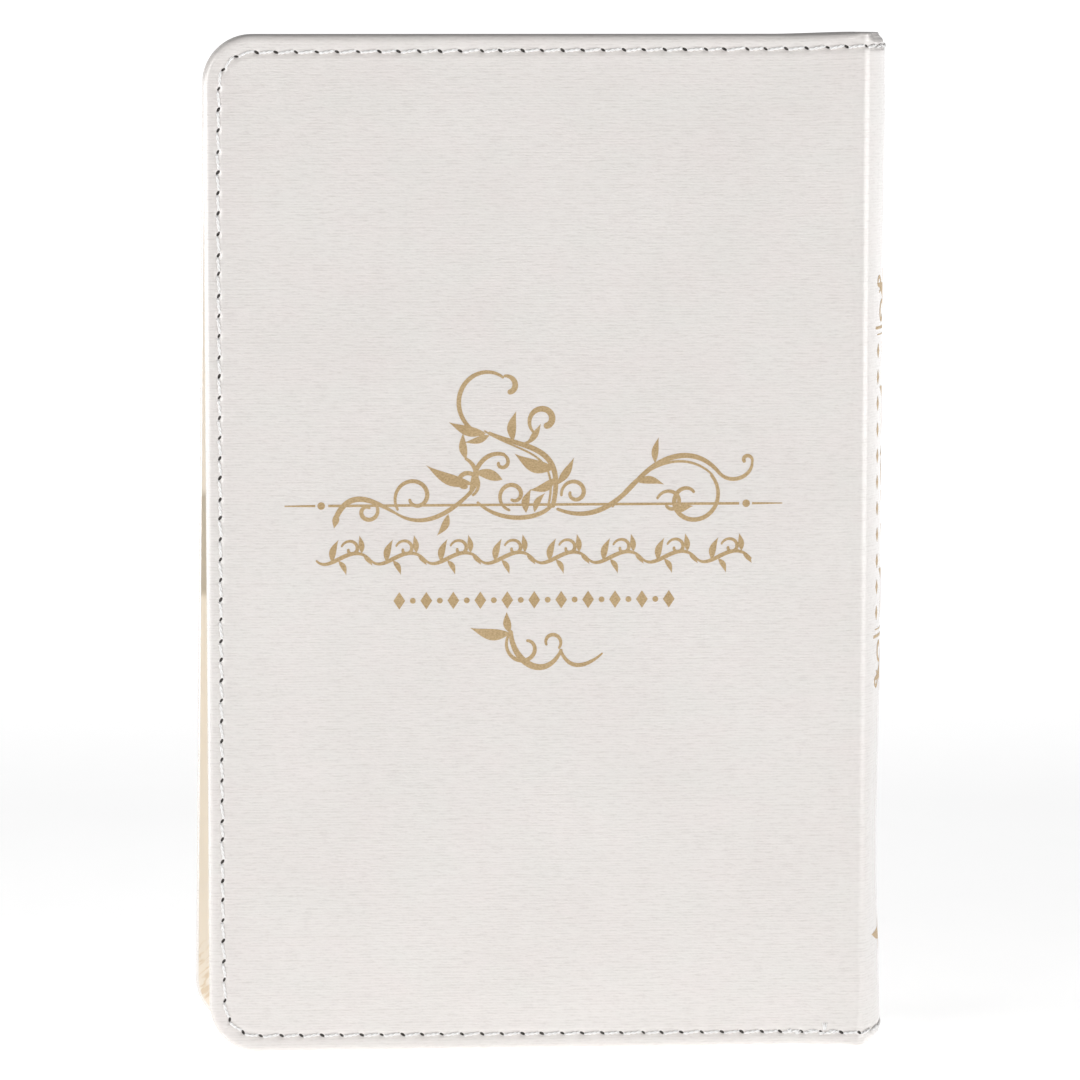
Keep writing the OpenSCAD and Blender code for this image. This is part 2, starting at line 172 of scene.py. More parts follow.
def place(side, s, z, depth=0.0):
    """Point in the row frame, in mm, at a run s, a height z and a depth under the outer face."""
    x, y, nx, ny = section(s)
    d = spine_swell(s, z) - depth
    return Vector((x + nx * d + creep(side, s, z), SIDES[side] * (y + ny * d), z + stand(s, z)))


def layer_depth(s):
    """Depth of the inner face of the leather that is turned in: it thins over the joint."""
    joint = mix(COVER_T, LEATHER_T + TURNIN_T + 0.02, smooth(COVER_W - 2.4, COVER_W - 1.2, s))
    return mix(joint, LEATHER_T + INLAY_T + TURNIN_T, smooth(COVER_W + 1.6, COVER_W + 3.4, s))


# ---- The row of stitches: a run q along it from the hinge line at the tail ----
ROW_R = CORNER_R - STITCH_MARGIN
EDGE_RUN = COVER_W - CORNER_R
CORNER_RUN = ROW_R * math.pi / 2
RISE_RUN = COVER_H - 2 * CORNER_R
ROW_RUN = 2 * EDGE_RUN + 2 * CORNER_RUN + RISE_RUN
STITCHES = round(ROW_RUN / STITCH_PITCH)
PITCH = ROW_RUN / STITCHES
SPINE_STITCHES = round(2 * HALF_RUN / STITCH_PITCH)
SPINE_PITCH = 2 * HALF_RUN / SPINE_STITCHES


def edge_point(q, e, r=CORNER_R, inset=0.0):
    """(s, z) at a distance e from the outline, for the run q along the row of stitches.
    With an inset, the point is on an inner outline whose corners have the radius r."""
    c = r + inset
    q1, q2 = q - EDGE_RUN, q - EDGE_RUN - CORNER_RUN
    q3 = q2 - RISE_RUN
    q4 = q3 - CORNER_RUN
    d = e + inset
    if q1 < 0:
        return max(COVER_W - q, c) if inset else COVER_W - q, d
    if q2 < 0:
        a = 1.5 * math.pi - q1 / ROW_R
        return c + (r - e) * math.cos(a), c + (r - e) * math.sin(a)
    if q3 < 0:
        z = CORNER_R + q2
        return d, min(max(z, c), COVER_H - c) if inset else z
    if q4 < 0:
        a = math.pi - q3 / ROW_R
        return c + (r - e) * math.cos(a), COVER_H - c + (r - e) * math.sin(a)
    s = CORNER_R + q4
    return max(s, c) if inset else s, COVER_H - d


# The row runs further from the edge at the corners, and nearer to it over the spine: (run, distance)
CORNER_END = EDGE_RUN + CORNER_RUN
RISE_END = CORNER_END + RISE_RUN
MARGIN_AT = [(-HALF_RUN, 2.3), (0, 2.4), (EDGE_RUN, 2.9), (CORNER_END, 2.65), (CORNER_END + 12, 2.4),
             (RISE_END - 12, 2.4), (RISE_END, 2.65), (RISE_END + CORNER_RUN, 2.93), (ROW_RUN, 2.27),
             (ROW_RUN + HALF_RUN, 2.2)]


def row_margin(q):
    """The row's own distance from the outline."""
    return read_off(MARGIN_AT, q)


def hole_runs():
    """Runs q of all needle holes, those over the spine at tail and head among them."""
    half = SPINE_STITCHES // 2
    runs = [-k * SPINE_PITCH for k in range(half, 0, -1)]
    runs += [k * PITCH for k in range(STITCHES + 1)]
    runs += [ROW_RUN + k * SPINE_PITCH for k in range(1, half + 1)]
    uneven = [0.45 * noise.noise(Vector((k * 0.83, 4.0, 9.0))) for k in range(len(runs))]
    uneven[0] = uneven[-1] = 0.0
    return [q + u for q, u in zip(runs, uneven)]


HOLES = hole_runs()


def sample_runs():
    """Runs q at which the outline is sampled: 8 to a stitch, and finer over the ridge and the seam."""
    runs = []
    for a, b in zip(HOLES, HOLES[1:]):
        runs += [mix(a, b, k / 8) for k in range(8)]
    runs.append(HOLES[-1])
    fine = [RIDGE_IN - RIDGE_RUN * k / 10 for k in range(-2, 13)]
    fine += [-HALF_RUN + 0.06 * k for k in range(1, 4)]
    runs += fine + [ROW_RUN - f for f in fine]
    runs.sort()
    kept = [runs[0]]
    for q in runs[1:]:
        if q - kept[-1] > 0.045:
            kept.append(q)
    kept[-1] = HOLES[-1]
    return kept


RUNS = sample_runs()


# ---- Relief of the leather's outer face ----
def wave(s, z, seed):
    """Slow waves over the whole cover."""
    return (0.05 * noise.noise(Vector((s / 31, z / 37, seed)))
            + 0.02 * noise.noise(Vector((s / 9, z / 11, seed + 7))))


def hinge_relief(s, z, seed):
    """A shallow groove beside the hinge line and a low swell next to it, uneven along the height."""
    along = 0.85 + 0.35 * noise.noise(Vector((z / 23, seed, 2.0)))
    return along * (-0.12 * bell(s - (COVER_W - 2.3), 0.8) + 0.04 * bell(s - (COVER_W - 0.3), 0.6))


def broad_relief(s, z, seed):
    """All relief apart from the row of stitches."""
    return wave(s, z, seed) * (1 - smooth(COVER_W - 3, COVER_W, s)) + hinge_relief(s, z, seed)


def row_relief(q, e):
    """The seam's groove, the padded margin outside it, and the dimple at each needle hole."""
    i = nearest_hole(q)
    off = e - row_margin(q)
    away = math.hypot(q - HOLES[i], off * 1.15)
    between = min(1.0, abs(q - HOLES[i]) / (PITCH / 2))
    groove = -0.13 * bell(off, 0.5)
    padding = 0.045 * bell(e - 1.2, 0.55) * (0.75 + 0.4 * between) + 0.03 * bell(off - 1.1, 0.6)
    return groove + padding - 0.2 * bell(away, 0.42)


def nearest_hole(q):
    """The number of the needle hole nearest to the run q."""
    if q < 0:
        k = round((q - HOLES[0]) / SPINE_PITCH)
    elif q <= ROW_RUN:
        k = SPINE_STITCHES // 2 + round(q / PITCH)
    else:
        k = SPINE_STITCHES // 2 + STITCHES + round((q - ROW_RUN) / SPINE_PITCH)
    return min(max(k, 0), len(HOLES) - 1)


# How far in, and over what height, the spine's leather rounds over
HEADCAP = (2.2, 3.0)
TAILCAP = (1.3, 1.9)


def headcap(s, e, z):
    """How far the spine's leather draws in at a distance e from head or tail, as it rounds over."""
    into, height = HEADCAP if z > COVER_H / 2 else TAILCAP
    if e >= height:
        return 0.0
    w = smooth(COVER_W - 0.4, COVER_W + 3.8, s)
    return w * into * (1 - math.sqrt(1 - (1 - e / height) ** 2))


def outer_height(q, e, seed):
    """Height of the leather's outer face over its plain section, beside the row of stitches."""
    s, z = edge_point(q, e)
    return broad_relief(s, z, seed) + row_relief(q, e) - headcap(s, e, z)


def ring_inset(e, q):
    """The rings of points near the row of stitches follow it."""
    return e + (row_margin(q) - STITCH_MARGIN) * smooth(0.9, 1.9, e) * smooth(4.4, 3.1, e)


# ---- Mesh helpers ----
def new_object(name, verts, faces, mats, face_mats=None, uvs=None, smooth_faces=True, sharp=35):
    """A mesh object from points in mm. uvs are (u, v) in mm, one for each point."""
    me = bpy.data.meshes.new(name)
    me.from_pydata([(v[0] * M, v[1] * M, v[2] * M) for v in verts], [], faces)
    for m in mats if isinstance(mats, (list, tuple)) else [mats]:
        me.materials.append(m)
    if face_mats:
        me.polygons.foreach_set("material_index", face_mats)
    if uvs:
        layer = me.uv_layers.new(name="flat")
        for loop in me.loops:
            u, v = uvs[loop.vertex_index]
            layer.data[loop.index].uv = (u * M, v * M)
    me.validate()
    me.update()
    bm = bmesh.new()
    bm.from_mesh(me)
    bmesh.ops.recalc_face_normals(bm, faces=bm.faces)
    if smooth_faces:
        limit = math.radians(sharp)
        for f in bm.faces:
            f.smooth = True
        for e in bm.edges:
            e.smooth = not (len(e.link_faces) == 2 and e.calc_face_angle(0) > limit)
    bm.to_mesh(me)
    bm.free()
    ob = bpy.data.objects.new(name, me)
    scene.collection.objects.link(ob)
    return ob


def wall(base, rows, sides):
    """Faces between closed rings of points that follow each other from the point base on."""
    faces = []
    for k in range(rows):
        for j in range(sides):
            a, b = base + k * sides + j, base + k * sides + (j + 1) % sides
            faces.append([a, b, b + sides, a + sides])
    return faces


def cap(base, sides):
    return [base + j for j in range(sides)]


def sheet_faces(base, columns, rows):
    """Faces of a thin closed sheet. Its points run column by column, one side's line and then the other's."""
    line = rows + 1
    per = 2 * line
    faces = []
    for c in range(columns):
        a, b = base + c * per, base + (c + 1) * per
        for k in range(rows):
            faces.append([a + k, a + k + 1, b + k + 1, b + k])
            faces.append([a + line + k, b + line + k, b + line + k + 1, a + line + k + 1])
        faces.append([a, b, b + line, a + line])
        faces.append([a + rows, a + line + rows, b + line + rows, b + rows])
    for a in (base, base + columns * per):
        for k in range(rows):
            faces.append([a + k, a + k + 1, a + line + k + 1, a + line + k])
    return faces


def fill_outline(outline, inner):
    """Triangles over the outline (s, z) with extra points inside it.
    Returns the points that were added after the outline's, and faces that index outline + added."""
    pts = [Vector(p) for p in outline] + [Vector(p) for p in inner]
    n = len(outline)
    out, _, faces, orig, _, _ = delaunay_2d_cdt(pts, [], [list(range(n))], 1, 1e-5)
    index, added = [], []
    for v, o in zip(out, orig):
        ring = [k for k in o if k < n]
        if ring:
            index.append(ring[0])
        else:
            index.append(n + len(added))
            added.append((v.x, v.y))
    return added, [[index[k] for k in f] for f in faces]


def inside(s, z, e, top=COVER_H):
    """True if (s, z) is more than e inside the cover's outline."""
    if s < e or z < e or z > top - e:
        return False
    r = CORNER_R
    for cz in (r, top - r):
        if s < r and (z < r) == (cz == r) and (z < r or z > top - r):
            return math.hypot(s - r, z - cz) < r - e
    return True


# ---- The leather, in two halves that meet along the middle of the spine ----
# Distances from the outline of the rings of points on the outer face
OUTER_INSETS = [4.4, 3.9, 3.5, 3.1, 2.85, 2.65, 2.5, 2.4, 2.3, 2.15, 1.95, 1.7, 1.45, 1.2, 1.0]
# Runs of the columns of points on the outer face and on the face against the board, and rows of each
OUTER_COLS, OUTER_ROWS = [6.0 + 2.6 * k for k in range(39)], 58
POCKET_COLS, POCKET_ROWS = [10.0 + 12 * k for k in range(8)], 12
ROLL_STEPS = 9
ROLL_E, SPINE_ROLL_E = 0.82, 0.42  # how far in the edge rolls over, at most, on the covers and the spine
POCKET_E = 0.74  # the board's pocket begins this far in


def leather_seed(side):
    return 3.0 if side == "back" else 11.0


def spine_columns():
    """Runs s of the columns of points from the joint to the middle of the spine."""
    cols = [COVER_W - q for q in RUNS if q <= 1.0]
    return sorted(cols + [COVER_W - 1.0 - 0.3 * k for k in range(1, 14)])


def grid(cols, step, e):
    """Points (s, z) at the runs cols and at evenly spaced heights, and those heights."""
    points = []
    rows = [e + 1.2 + k * (COVER_H - 2 * e - 2.4) / step for k in range(step + 1)]
    for s in cols:
        points += [(s, z) for z in rows if inside(s, z, e + 0.8)]
    return points, rows


def leather_half(side, mat):
    """Rings of points from the outer face over the edge and the turn-in into the pocket, then both faces."""
    seed = leather_seed(side)
    verts, uvs, faces = [], [], []
    n = len(RUNS)

    def add(s, z, depth):
        verts.append(place(side, s, z, depth))
        uvs.append((SIDES[side] * (WHOLE - s), z))
        return len(verts) - 1

    def ring(points):
        return [add(*p) for p in points]

    def loft(a, b):
        faces.extend([a[i], a[i + 1], b[i + 1], b[i]] for i in range(n - 1))

    rings = []
    for e in OUTER_INSETS:
        pts = []
        for q in RUNS:
            d = ring_inset(e, q)
            pts.append((*edge_point(q, d), -outer_height(q, d, seed)))
        rings.append(ring(pts))
    for k in range(ROLL_STEPS + 1):
        phi = math.pi * k / ROLL_STEPS
        pts = []
        for q in RUNS:
            s0, _ = edge_point(q, 0.0)
            t = layer_depth(s0)
            w = smooth(COVER_W + 0.2, COVER_W + 4.5, s0)
            r = mix(min(ROLL_E, t * 0.45), SPINE_ROLL_E, w)
            e = r * (1 - math.sin(phi) ** 0.9)
            s, z = edge_point(q, e)
            top = headcap(s, r, z) - row_relief(q, r) * (1 - k / ROLL_STEPS)
            pts.append((s, z, mix(top, t, (1 - math.cos(phi)) / 2)))
        rings.append(ring(pts))
    for inset, lift in ((TURNIN_W, 0.0), (TURNIN_W, TURNIN_T)):
        pts = []
        for q in RUNS:
            s, z = edge_point(q, 0.0, 2.0, inset)
            pts.append((s, z, layer_depth(s) - lift))
        rings.append(ring(pts))
    for depth_of in (lambda s: layer_depth(s) - TURNIN_T, lambda s: LEATHER_T):
        pts = []
        for q in RUNS:
            s, z = edge_point(q, POCKET_E)
            pts.append((s, z, depth_of(s)))
        rings.append(ring(pts))
    for a, b in zip(rings, rings[1:]):
        loft(a, b)

    # The outer face and the face against the board, inside their last rings
    for loop, e, cols, steps, depth_of in (
        (rings[0], OUTER_INSETS[0], OUTER_COLS, OUTER_ROWS, lambda s, z: -broad_relief(s, z, seed)),
        (rings[-1], POCKET_E, POCKET_COLS, POCKET_ROWS, lambda s, z: LEATHER_T),
    ):
        outline = [edge_point(q, e) for q in RUNS]
        inner, rows = grid([c for c in cols + spine_columns() if c < WHOLE - 0.02], steps, e)
        seam = [(WHOLE, z) for z in reversed(rows) if e < z < COVER_H - e]
        added, tris = fill_outline(outline + seam, inner)
        ids = loop + [add(s, z, depth_of(s, z)) for s, z in seam + added]
        faces.extend([ids[k] for k in f] for f in tris)

    ob = new_object(f"{side}_leather", verts, faces, mat, uvs=uvs, sharp=50)
    bm = bmesh.new()
    bm.from_mesh(ob.data)
    open_edges = [e for e in bm.edges if len(e.link_faces) == 1]
    made = bmesh.ops.edgeloop_fill(bm, edges=open_edges)["faces"]
    for f in made:
        f.smooth = False
        for e in f.edges:
            e.smooth = False
    bmesh.ops.recalc_face_normals(bm, faces=bm.faces)
    bm.to_mesh(ob.data)
    bm.free()
    return ob


def bend_with(ob, side):
    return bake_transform(ob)


# ---- Materials ----
def material(name):
    m = bpy.data.materials.new(name)
    m.use_nodes = True
    nt = m.node_tree
    for nd in list(nt.nodes):
        nt.nodes.remove(nd)
    out = nt.nodes.new("ShaderNodeOutputMaterial")
    bsdf = nt.nodes.new("ShaderNodeBsdfPrincipled")
    nt.links.new(bsdf.outputs[0], out.inputs[0])
    return m, nt, bsdf


def fill(nt, nd, inputs):
    """Links or sets a node's own inputs."""
    for k, v in inputs.items():
        if isinstance(v, bpy.types.NodeSocket):
            nt.links.new(v, nd.inputs[k])
        else:
            nd.inputs[k].default_value = v
    return nd


def node(nt, kind, inputs, **settings):
    nd = nt.nodes.new(kind)
    for k, v in settings.items():
        setattr(nd, k, v)
    return fill(nt, nd, inputs)


def maths(nt, operation, a, b):
    return node(nt, "ShaderNodeMath", {0: a, 1: b}, operation=operation).outputs[0]


def colour_mix(nt, fac, a, b, blend="MIX"):
    return node(nt, "ShaderNodeMix", {0: fac, 6: a, 7: b}, data_type="RGBA", blend_type=blend).outputs[2]


def coords(nt, uv, scale=(1, 1, 1)):
    """The piece's own flat coordinates, or its place, in metres times the scale."""
    if uv:
        src = node(nt, "ShaderNodeUVMap", {}, uv_map="flat").outputs[0]
    else:
        src = node(nt, "ShaderNodeTexCoord", {}).outputs["Object"]
    return node(nt, "ShaderNodeMapping", {"Vector": src, "Scale": scale}).outputs[0]


def noise_tex(nt, vec, detail, rough, distortion=0.0):
    return node(nt, "ShaderNodeTexNoise", {"Vector": vec, "Scale": 1.0, "Detail": detail, "Roughness": rough,
                                           "Distortion": distortion}).outputs["Fac"]


def ramp(nt, fac, stops):
    """Stops are (position, colour), and one number is a grey."""
    nd = node(nt, "ShaderNodeValToRGB", {"Fac": fac})
    el = nd.color_ramp.elements
    while len(el) < len(stops):
        el.new(0.5)
    for e, (pos, col) in zip(el, stops):
        e.position = pos
        e.color = (*col, 1.0) if isinstance(col, tuple) else (col, col, col, 1.0)
    return nd.outputs[0]


def weighted(nt, parts):
    """The sum of several values, each times its weight."""
    total = None
    for value, weight in parts:
        part = maths(nt, "MULTIPLY", value, weight)
        total = part if total is None else maths(nt, "ADD", total, part)
    return total


def bump(nt, height, distance, strength, under=None):
    """A normal from a height, over the normal under it. The distance is in metres."""
    inputs = {"Height": height, "Distance": distance, "Strength": strength}
    if under:
        inputs["Normal"] = under
    return node(nt, "ShaderNodeBump", inputs).outputs[0]


def leather_material():
    m, nt, b = material("pearl_leather")
    # fine embossed lines across the cover, broken up so that none runs far
    lines = node(nt, "ShaderNodeTexWave",
                 {"Vector": coords(nt, True, (0.02, 1, 1)), "Scale": 700.0, "Distortion": 3.5,
                  "Detail": 2.0, "Detail Scale": 0.4, "Detail Roughness": 0.6},
                 wave_type="BANDS", bands_direction="Y").outputs["Fac"]
    dashes = noise_tex(nt, coords(nt, True, (400, 2700, 1)), 3, 0.6, 0.1)
    fleck = noise_tex(nt, coords(nt, True, (1500, 2900, 1)), 2, 0.6)
    grain = weighted(nt, ((lines, 0.1), (dashes, 0.7), (fleck, 0.3)))
    pores = noise_tex(nt, coords(nt, True, (1300, 3900, 1)), 2, 0.5)
    streak = noise_tex(nt, coords(nt, True, (45, 1500, 1)), 2, 0.5)
    cloud = noise_tex(nt, coords(nt, True, (38, 46, 1)), 3, 0.55)
    # pink and green mottling: partly the leather's own tone, partly painted sheen for the pearly colour play
    tint = noise_tex(nt, coords(nt, True, (95, 140, 1)), 2, 0.5)
    base = ramp(nt, cloud, [(0.3, (0.83, 0.785, 0.755)), (0.7, (0.865, 0.825, 0.795))])
    pearl_sheen_tint = ramp(nt, tint, [(0.32, (0.875, 0.80, 0.785)), (0.68, (0.815, 0.82, 0.78))])
    base = colour_mix(nt, 0.22, base, pearl_sheen_tint)
    shade = ramp(nt, grain, [(0.40, (0.87, 0.86, 0.855)), (0.52, (0.965, 0.962, 0.96)), (0.64, 1.0)])
    base = colour_mix(nt, 0.85, base, shade, "MULTIPLY")
    faint = ramp(nt, streak, [(0.38, (0.955, 0.95, 0.945)), (0.52, 1.0)])
    fill(nt, b, {
        "Base Color": colour_mix(nt, 0.3, base, faint, "MULTIPLY"),
        "Roughness": ramp(nt, grain, [(0.4, 0.44), (0.65, 0.34)]),
        "Normal": bump(nt, pores, 0.00004, 0.8, bump(nt, grain, 0.00009, 0.9)),
        "Specular IOR Level": 0.5, "Sheen Weight": 0.05, "Sheen Roughness": 0.4,
        "Coat Weight": 1.0, "Coat IOR": 1.9, "Coat Roughness": 0.22})
    return m


def thread_material():
    m, nt, b = material("white_thread")
    fib = noise_tex(nt, coords(nt, False, (9000, 9000, 2500)), 2, 0.5)
    fill(nt, b, {
        "Base Color": ramp(nt, fib, [(0.3, (0.90, 0.895, 0.885)), (0.7, (0.985, 0.98, 0.975))]),
        "Normal": bump(nt, fib, 0.00003, 0.6), "Roughness": 0.5, "Sheen Weight": 0.25})
    return m


# Near black: painted shade, standing for the shade inside a needle hole.
def hole_shade_material():
    m, nt, b = material("hole_slit_shade")
    t = noise_tex(nt, coords(nt, False, (3000, 3000, 3000)), 1, 0.5)
    fill(nt, b, {
        "Base Color": ramp(nt, t, [(0.3, (0.045, 0.041, 0.038)), (0.7, (0.1, 0.092, 0.086))]),
        "Roughness": 0.9, "Specular IOR Level": 0.1})
    return m


def foil_material():
    m, nt, b = material("stamped_foil")
    speck = noise_tex(nt, coords(nt, True, (2600, 3600, 1)), 3, 0.65)
    cloud = noise_tex(nt, coords(nt, True, (150, 190, 1)), 2, 0.5)
    base = ramp(nt, speck, [(0.3, (0.36, 0.235, 0.105)), (0.5, (0.56, 0.40, 0.215)),
                            (0.7, (0.68, 0.52, 0.31))])
    tone = ramp(nt, cloud, [(0.35, (0.50, 0.35, 0.18)), (0.65, (0.64, 0.48, 0.28))])
    fill(nt, b, {
        "Base Color": colour_mix(nt, 0.35, base, tone), "Metallic": 0.55,
        "Roughness": ramp(nt, speck, [(0.3, 0.55), (0.7, 0.34)]), "Normal": bump(nt, speck, 0.00003, 0.8)})
    return m


def paper_material(name, dark, light):
    m, nt, b = material(name)
    fib = noise_tex(nt, coords(nt, True, (900, 1300, 900)), 4, 0.65)
    cloud = noise_tex(nt, coords(nt, True, (30, 24, 30)), 2, 0.5)
    fill(nt, b, {
        "Base Color": colour_mix(nt, 0.6, ramp(nt, fib, [(0.3, dark), (0.7, light)]),
                                 ramp(nt, cloud, [(0.35, dark), (0.65, light)])),
        "Normal": bump(nt, fib, 0.00002, 0.7), "Roughness": 0.75, "Specular IOR Level": 0.25})
    return m


LINING_BAND = (76, 94)  # the heights between which the endpaper's band lies


def lining_material():
    """The printed endpaper: whitish at the head, a taupe band, cream below with faint diagonal sprays."""
    m, nt, b = material("printed_lining")
    uv = node(nt, "ShaderNodeUVMap", {}, uv_map="flat").outputs[0]
    up = node(nt, "ShaderNodeSeparateXYZ", {"Vector": uv}).outputs[1]
    fib = noise_tex(nt, coords(nt, True, (900, 1300, 900)), 4, 0.65)
    cloud = noise_tex(nt, coords(nt, True, (28, 22, 1)), 3, 0.5)
    h = maths(nt, "DIVIDE", up, COVER_H * M)
    lo, hi = (z / COVER_H for z in LINING_BAND)
    bands = ramp(nt, h, [
        (0.0, (0.985, 0.935, 0.865)), (lo - 0.003, (0.98, 0.93, 0.86)), (lo, (0.80, 0.745, 0.66)),
        (lo + 0.004, (0.62, 0.575, 0.505)), (hi - 0.004, (0.635, 0.59, 0.52)), (hi, (0.82, 0.78, 0.73)),
        (hi + 0.004, (0.95, 0.915, 0.875)), (1.0, (0.955, 0.925, 0.89))])
    base = colour_mix(nt, 0.25, bands, ramp(nt, cloud, [(0.35, (0.93, 0.91, 0.88)), (0.65, 1.0)]), "MULTIPLY")
    # diagonal sprays, only in the lowest part
    slant = node(nt, "ShaderNodeVectorRotate", {"Vector": uv, "Angle": math.radians(-42)},
                 rotation_type="Z_AXIS").outputs[0]
    spray = noise_tex(nt, node(nt, "ShaderNodeMapping", {"Vector": slant, "Scale": (260, 900, 1)}).outputs[0],
                      2, 0.5, 0.6)
    mask = ramp(nt, h, [(0.0, 0.4), (0.03, 0.8), (0.07, 0.7), (0.09, 0.0)])
    dark = maths(nt, "MULTIPLY", ramp(nt, spray, [(0.5, 0.0), (0.6, 1.0)]), mask)
    fill(nt, b, {
        "Base Color": colour_mix(nt, dark, base, (0.80, 0.68, 0.53, 1.0)),
        "Normal": bump(nt, fib, 0.00002, 0.7), "Roughness": 0.6, "Specular IOR Level": 0.3})
    return m


def gilt_material():
    m, nt, b = material("gilt_edge")
    lines = noise_tex(nt, coords(nt, False, (40, 9000, 40)), 2, 0.5)
    cloud = noise_tex(nt, coords(nt, False, (90, 90, 90)), 2, 0.5)
    base = ramp(nt, lines, [(0.3, (0.55, 0.39, 0.16)), (0.7, (0.83, 0.65, 0.36))])
    tone = ramp(nt, cloud, [(0.3, (0.62, 0.45, 0.2)), (0.7, (0.8, 0.62, 0.33))])
    fill(nt, b, {
        "Base Color": colour_mix(nt, 0.3, base, tone), "Normal": bump(nt, lines, 0.00004, 0.7),
        "Metallic": 0.75, "Roughness": 0.36})
    return m


def woven_material(name, dark, light, pitch):
    m, nt, b = material(name)
    vec = coords(nt, False)
    ways = [node(nt, "ShaderNodeTexWave", {"Vector": vec, "Scale": 1 / (3.2 * pitch * M), "Distortion": 0.4},
                 wave_type="BANDS", bands_direction=way).outputs["Fac"] for way in ("Z", "DIAGONAL")]
    h = maths(nt, "MAXIMUM", *ways)
    fill(nt, b, {"Base Color": ramp(nt, h, [(0.3, dark), (0.8, light)]),
                 "Normal": bump(nt, h, 0.00008, 0.8), "Roughness": 0.8})
    return m


def board_material(name, dark, light):
    m, nt, b = material(name)
    fib = noise_tex(nt, coords(nt, False, (700, 700, 1100)), 5, 0.7)
    fill(nt, b, {"Base Color": ramp(nt, fib, [(0.3, dark), (0.7, light)]),
                 "Normal": bump(nt, fib, 0.00006, 0.8), "Roughness": 0.85})
    return m


def glue_material():
    m, nt, b = material("dried_glue")
    t = noise_tex(nt, coords(nt, False, (420, 420, 160)), 3, 0.6)
    fill(nt, b, {"Base Color": ramp(nt, t, [(0.3, (0.62, 0.54, 0.36)), (0.7, (0.8, 0.73, 0.55))]),
                 "Roughness": ramp(nt, t, [(0.3, 0.28), (0.7, 0.5)]), "Normal": bump(nt, t, 0.0001, 0.7)})
    return m


SILK_STRIPE = 1.04  # width of each of the two colours along the bead


def silk_material():
    m, nt, b = material("headband_silk")
    u = node(nt, "ShaderNodeSeparateXYZ", {"Vector": coords(nt, True)}).outputs[0]
    w = maths(nt, "DIVIDE", maths(nt, "PINGPONG", u, SILK_STRIPE * M), SILK_STRIPE * M)
    fib = noise_tex(nt, coords(nt, True, (7000, 500, 1)), 2, 0.5)
    base = ramp(nt, w, [(0.47, (0.66, 0.48, 0.2)), (0.53, (0.88, 0.83, 0.7))])
    fine_shade = ramp(nt, fib, [(0.3, (0.8, 0.8, 0.78)), (0.7, 1.0)])
    fill(nt, b, {"Base Color": colour_mix(nt, 0.5, base, fine_shade, "MULTIPLY"),
                 "Normal": bump(nt, fib, 0.00003, 0.6), "Roughness": 0.42, "Sheen Weight": 0.3})
    return m


LEATHER = leather_material()
THREAD = thread_material()
HOLE_SHADE = hole_shade_material()
FOIL = foil_material()
PAGE = paper_material("page_paper", (0.80, 0.76, 0.66), (0.88, 0.85, 0.77))
FLYLEAF = paper_material("flyleaf_paper", (0.84, 0.80, 0.71), (0.91, 0.88, 0.81))
LINING = lining_material()
GILT = gilt_material()
MULL = woven_material("mull", (0.72, 0.70, 0.64), (0.90, 0.89, 0.85), 0.5)
BOARD = board_material("grey_board", (0.27, 0.235, 0.19), (0.42, 0.37, 0.31))
CARD = board_material("manila_card", (0.55, 0.48, 0.37), (0.68, 0.61, 0.50))
GLUE = glue_material()
SILK = silk_material()

# ---- Camera, at the photograph's viewing angle ----
CAM_DISTANCE = 850.0
CAM_YAW, CAM_PITCH = math.radians(3.85), math.radians(6.24)
SENSOR, LENS = 36.0, 166.4667
AIM = (-1.7701, 1.2255)  # a little left of the middle of the cover and above it
target = Vector((0, -COVER_OUT, COVER_H / 2))
back = Vector((-math.sin(CAM_YAW) * math.cos(CAM_PITCH), -math.cos(CAM_YAW) * math.cos(CAM_PITCH),
               math.sin(CAM_PITCH)))
eye = target + back * CAM_DISTANCE
aim = target + (-back).to_track_quat("-Z", "Y") @ Vector((*AIM, 0))
cam_data = bpy.data.cameras.new("camera")
cam = bpy.data.objects.new("camera", cam_data)
scene.collection.objects.link(cam)
cam_data.sensor_width = SENSOR
cam_data.lens = LENS
cam_data.clip_start, cam_data.clip_end = 0.01, 20
cam.location = eye * M
cam.rotation_mode = "QUATERNION"
cam.rotation_quaternion = (aim - eye).to_track_quat("-Z", "Y")
scene.camera = cam

# ---- Covers and spine: the leather ----
for side in SIDES:
    ob = leather_half(side, LEATHER)
    bend_with(ob, side)
    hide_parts(f"{side}_cover_leather")
    if side == "back":
        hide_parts("spine_leather")

# ---- Threads and needle holes ----
ROW_SLANT = math.tan(math.radians(7.5))
PLY_R = 0.145
PLY_TWIST = 1.75  # over this run the plies turn once round each other
PLY_SWING = (0.115, 0.085)  # how far they swing, sideways and up
THREAD_SHORT = 0.22  # a thread ends this far before the middle of its hole
DIVE_RUN = 0.42  # over this run it dives into the hole
HOLE_SLANT = math.radians(30)
HOLE_L, HOLE_W = 0.43, 0.22  # half the length and width of a hole


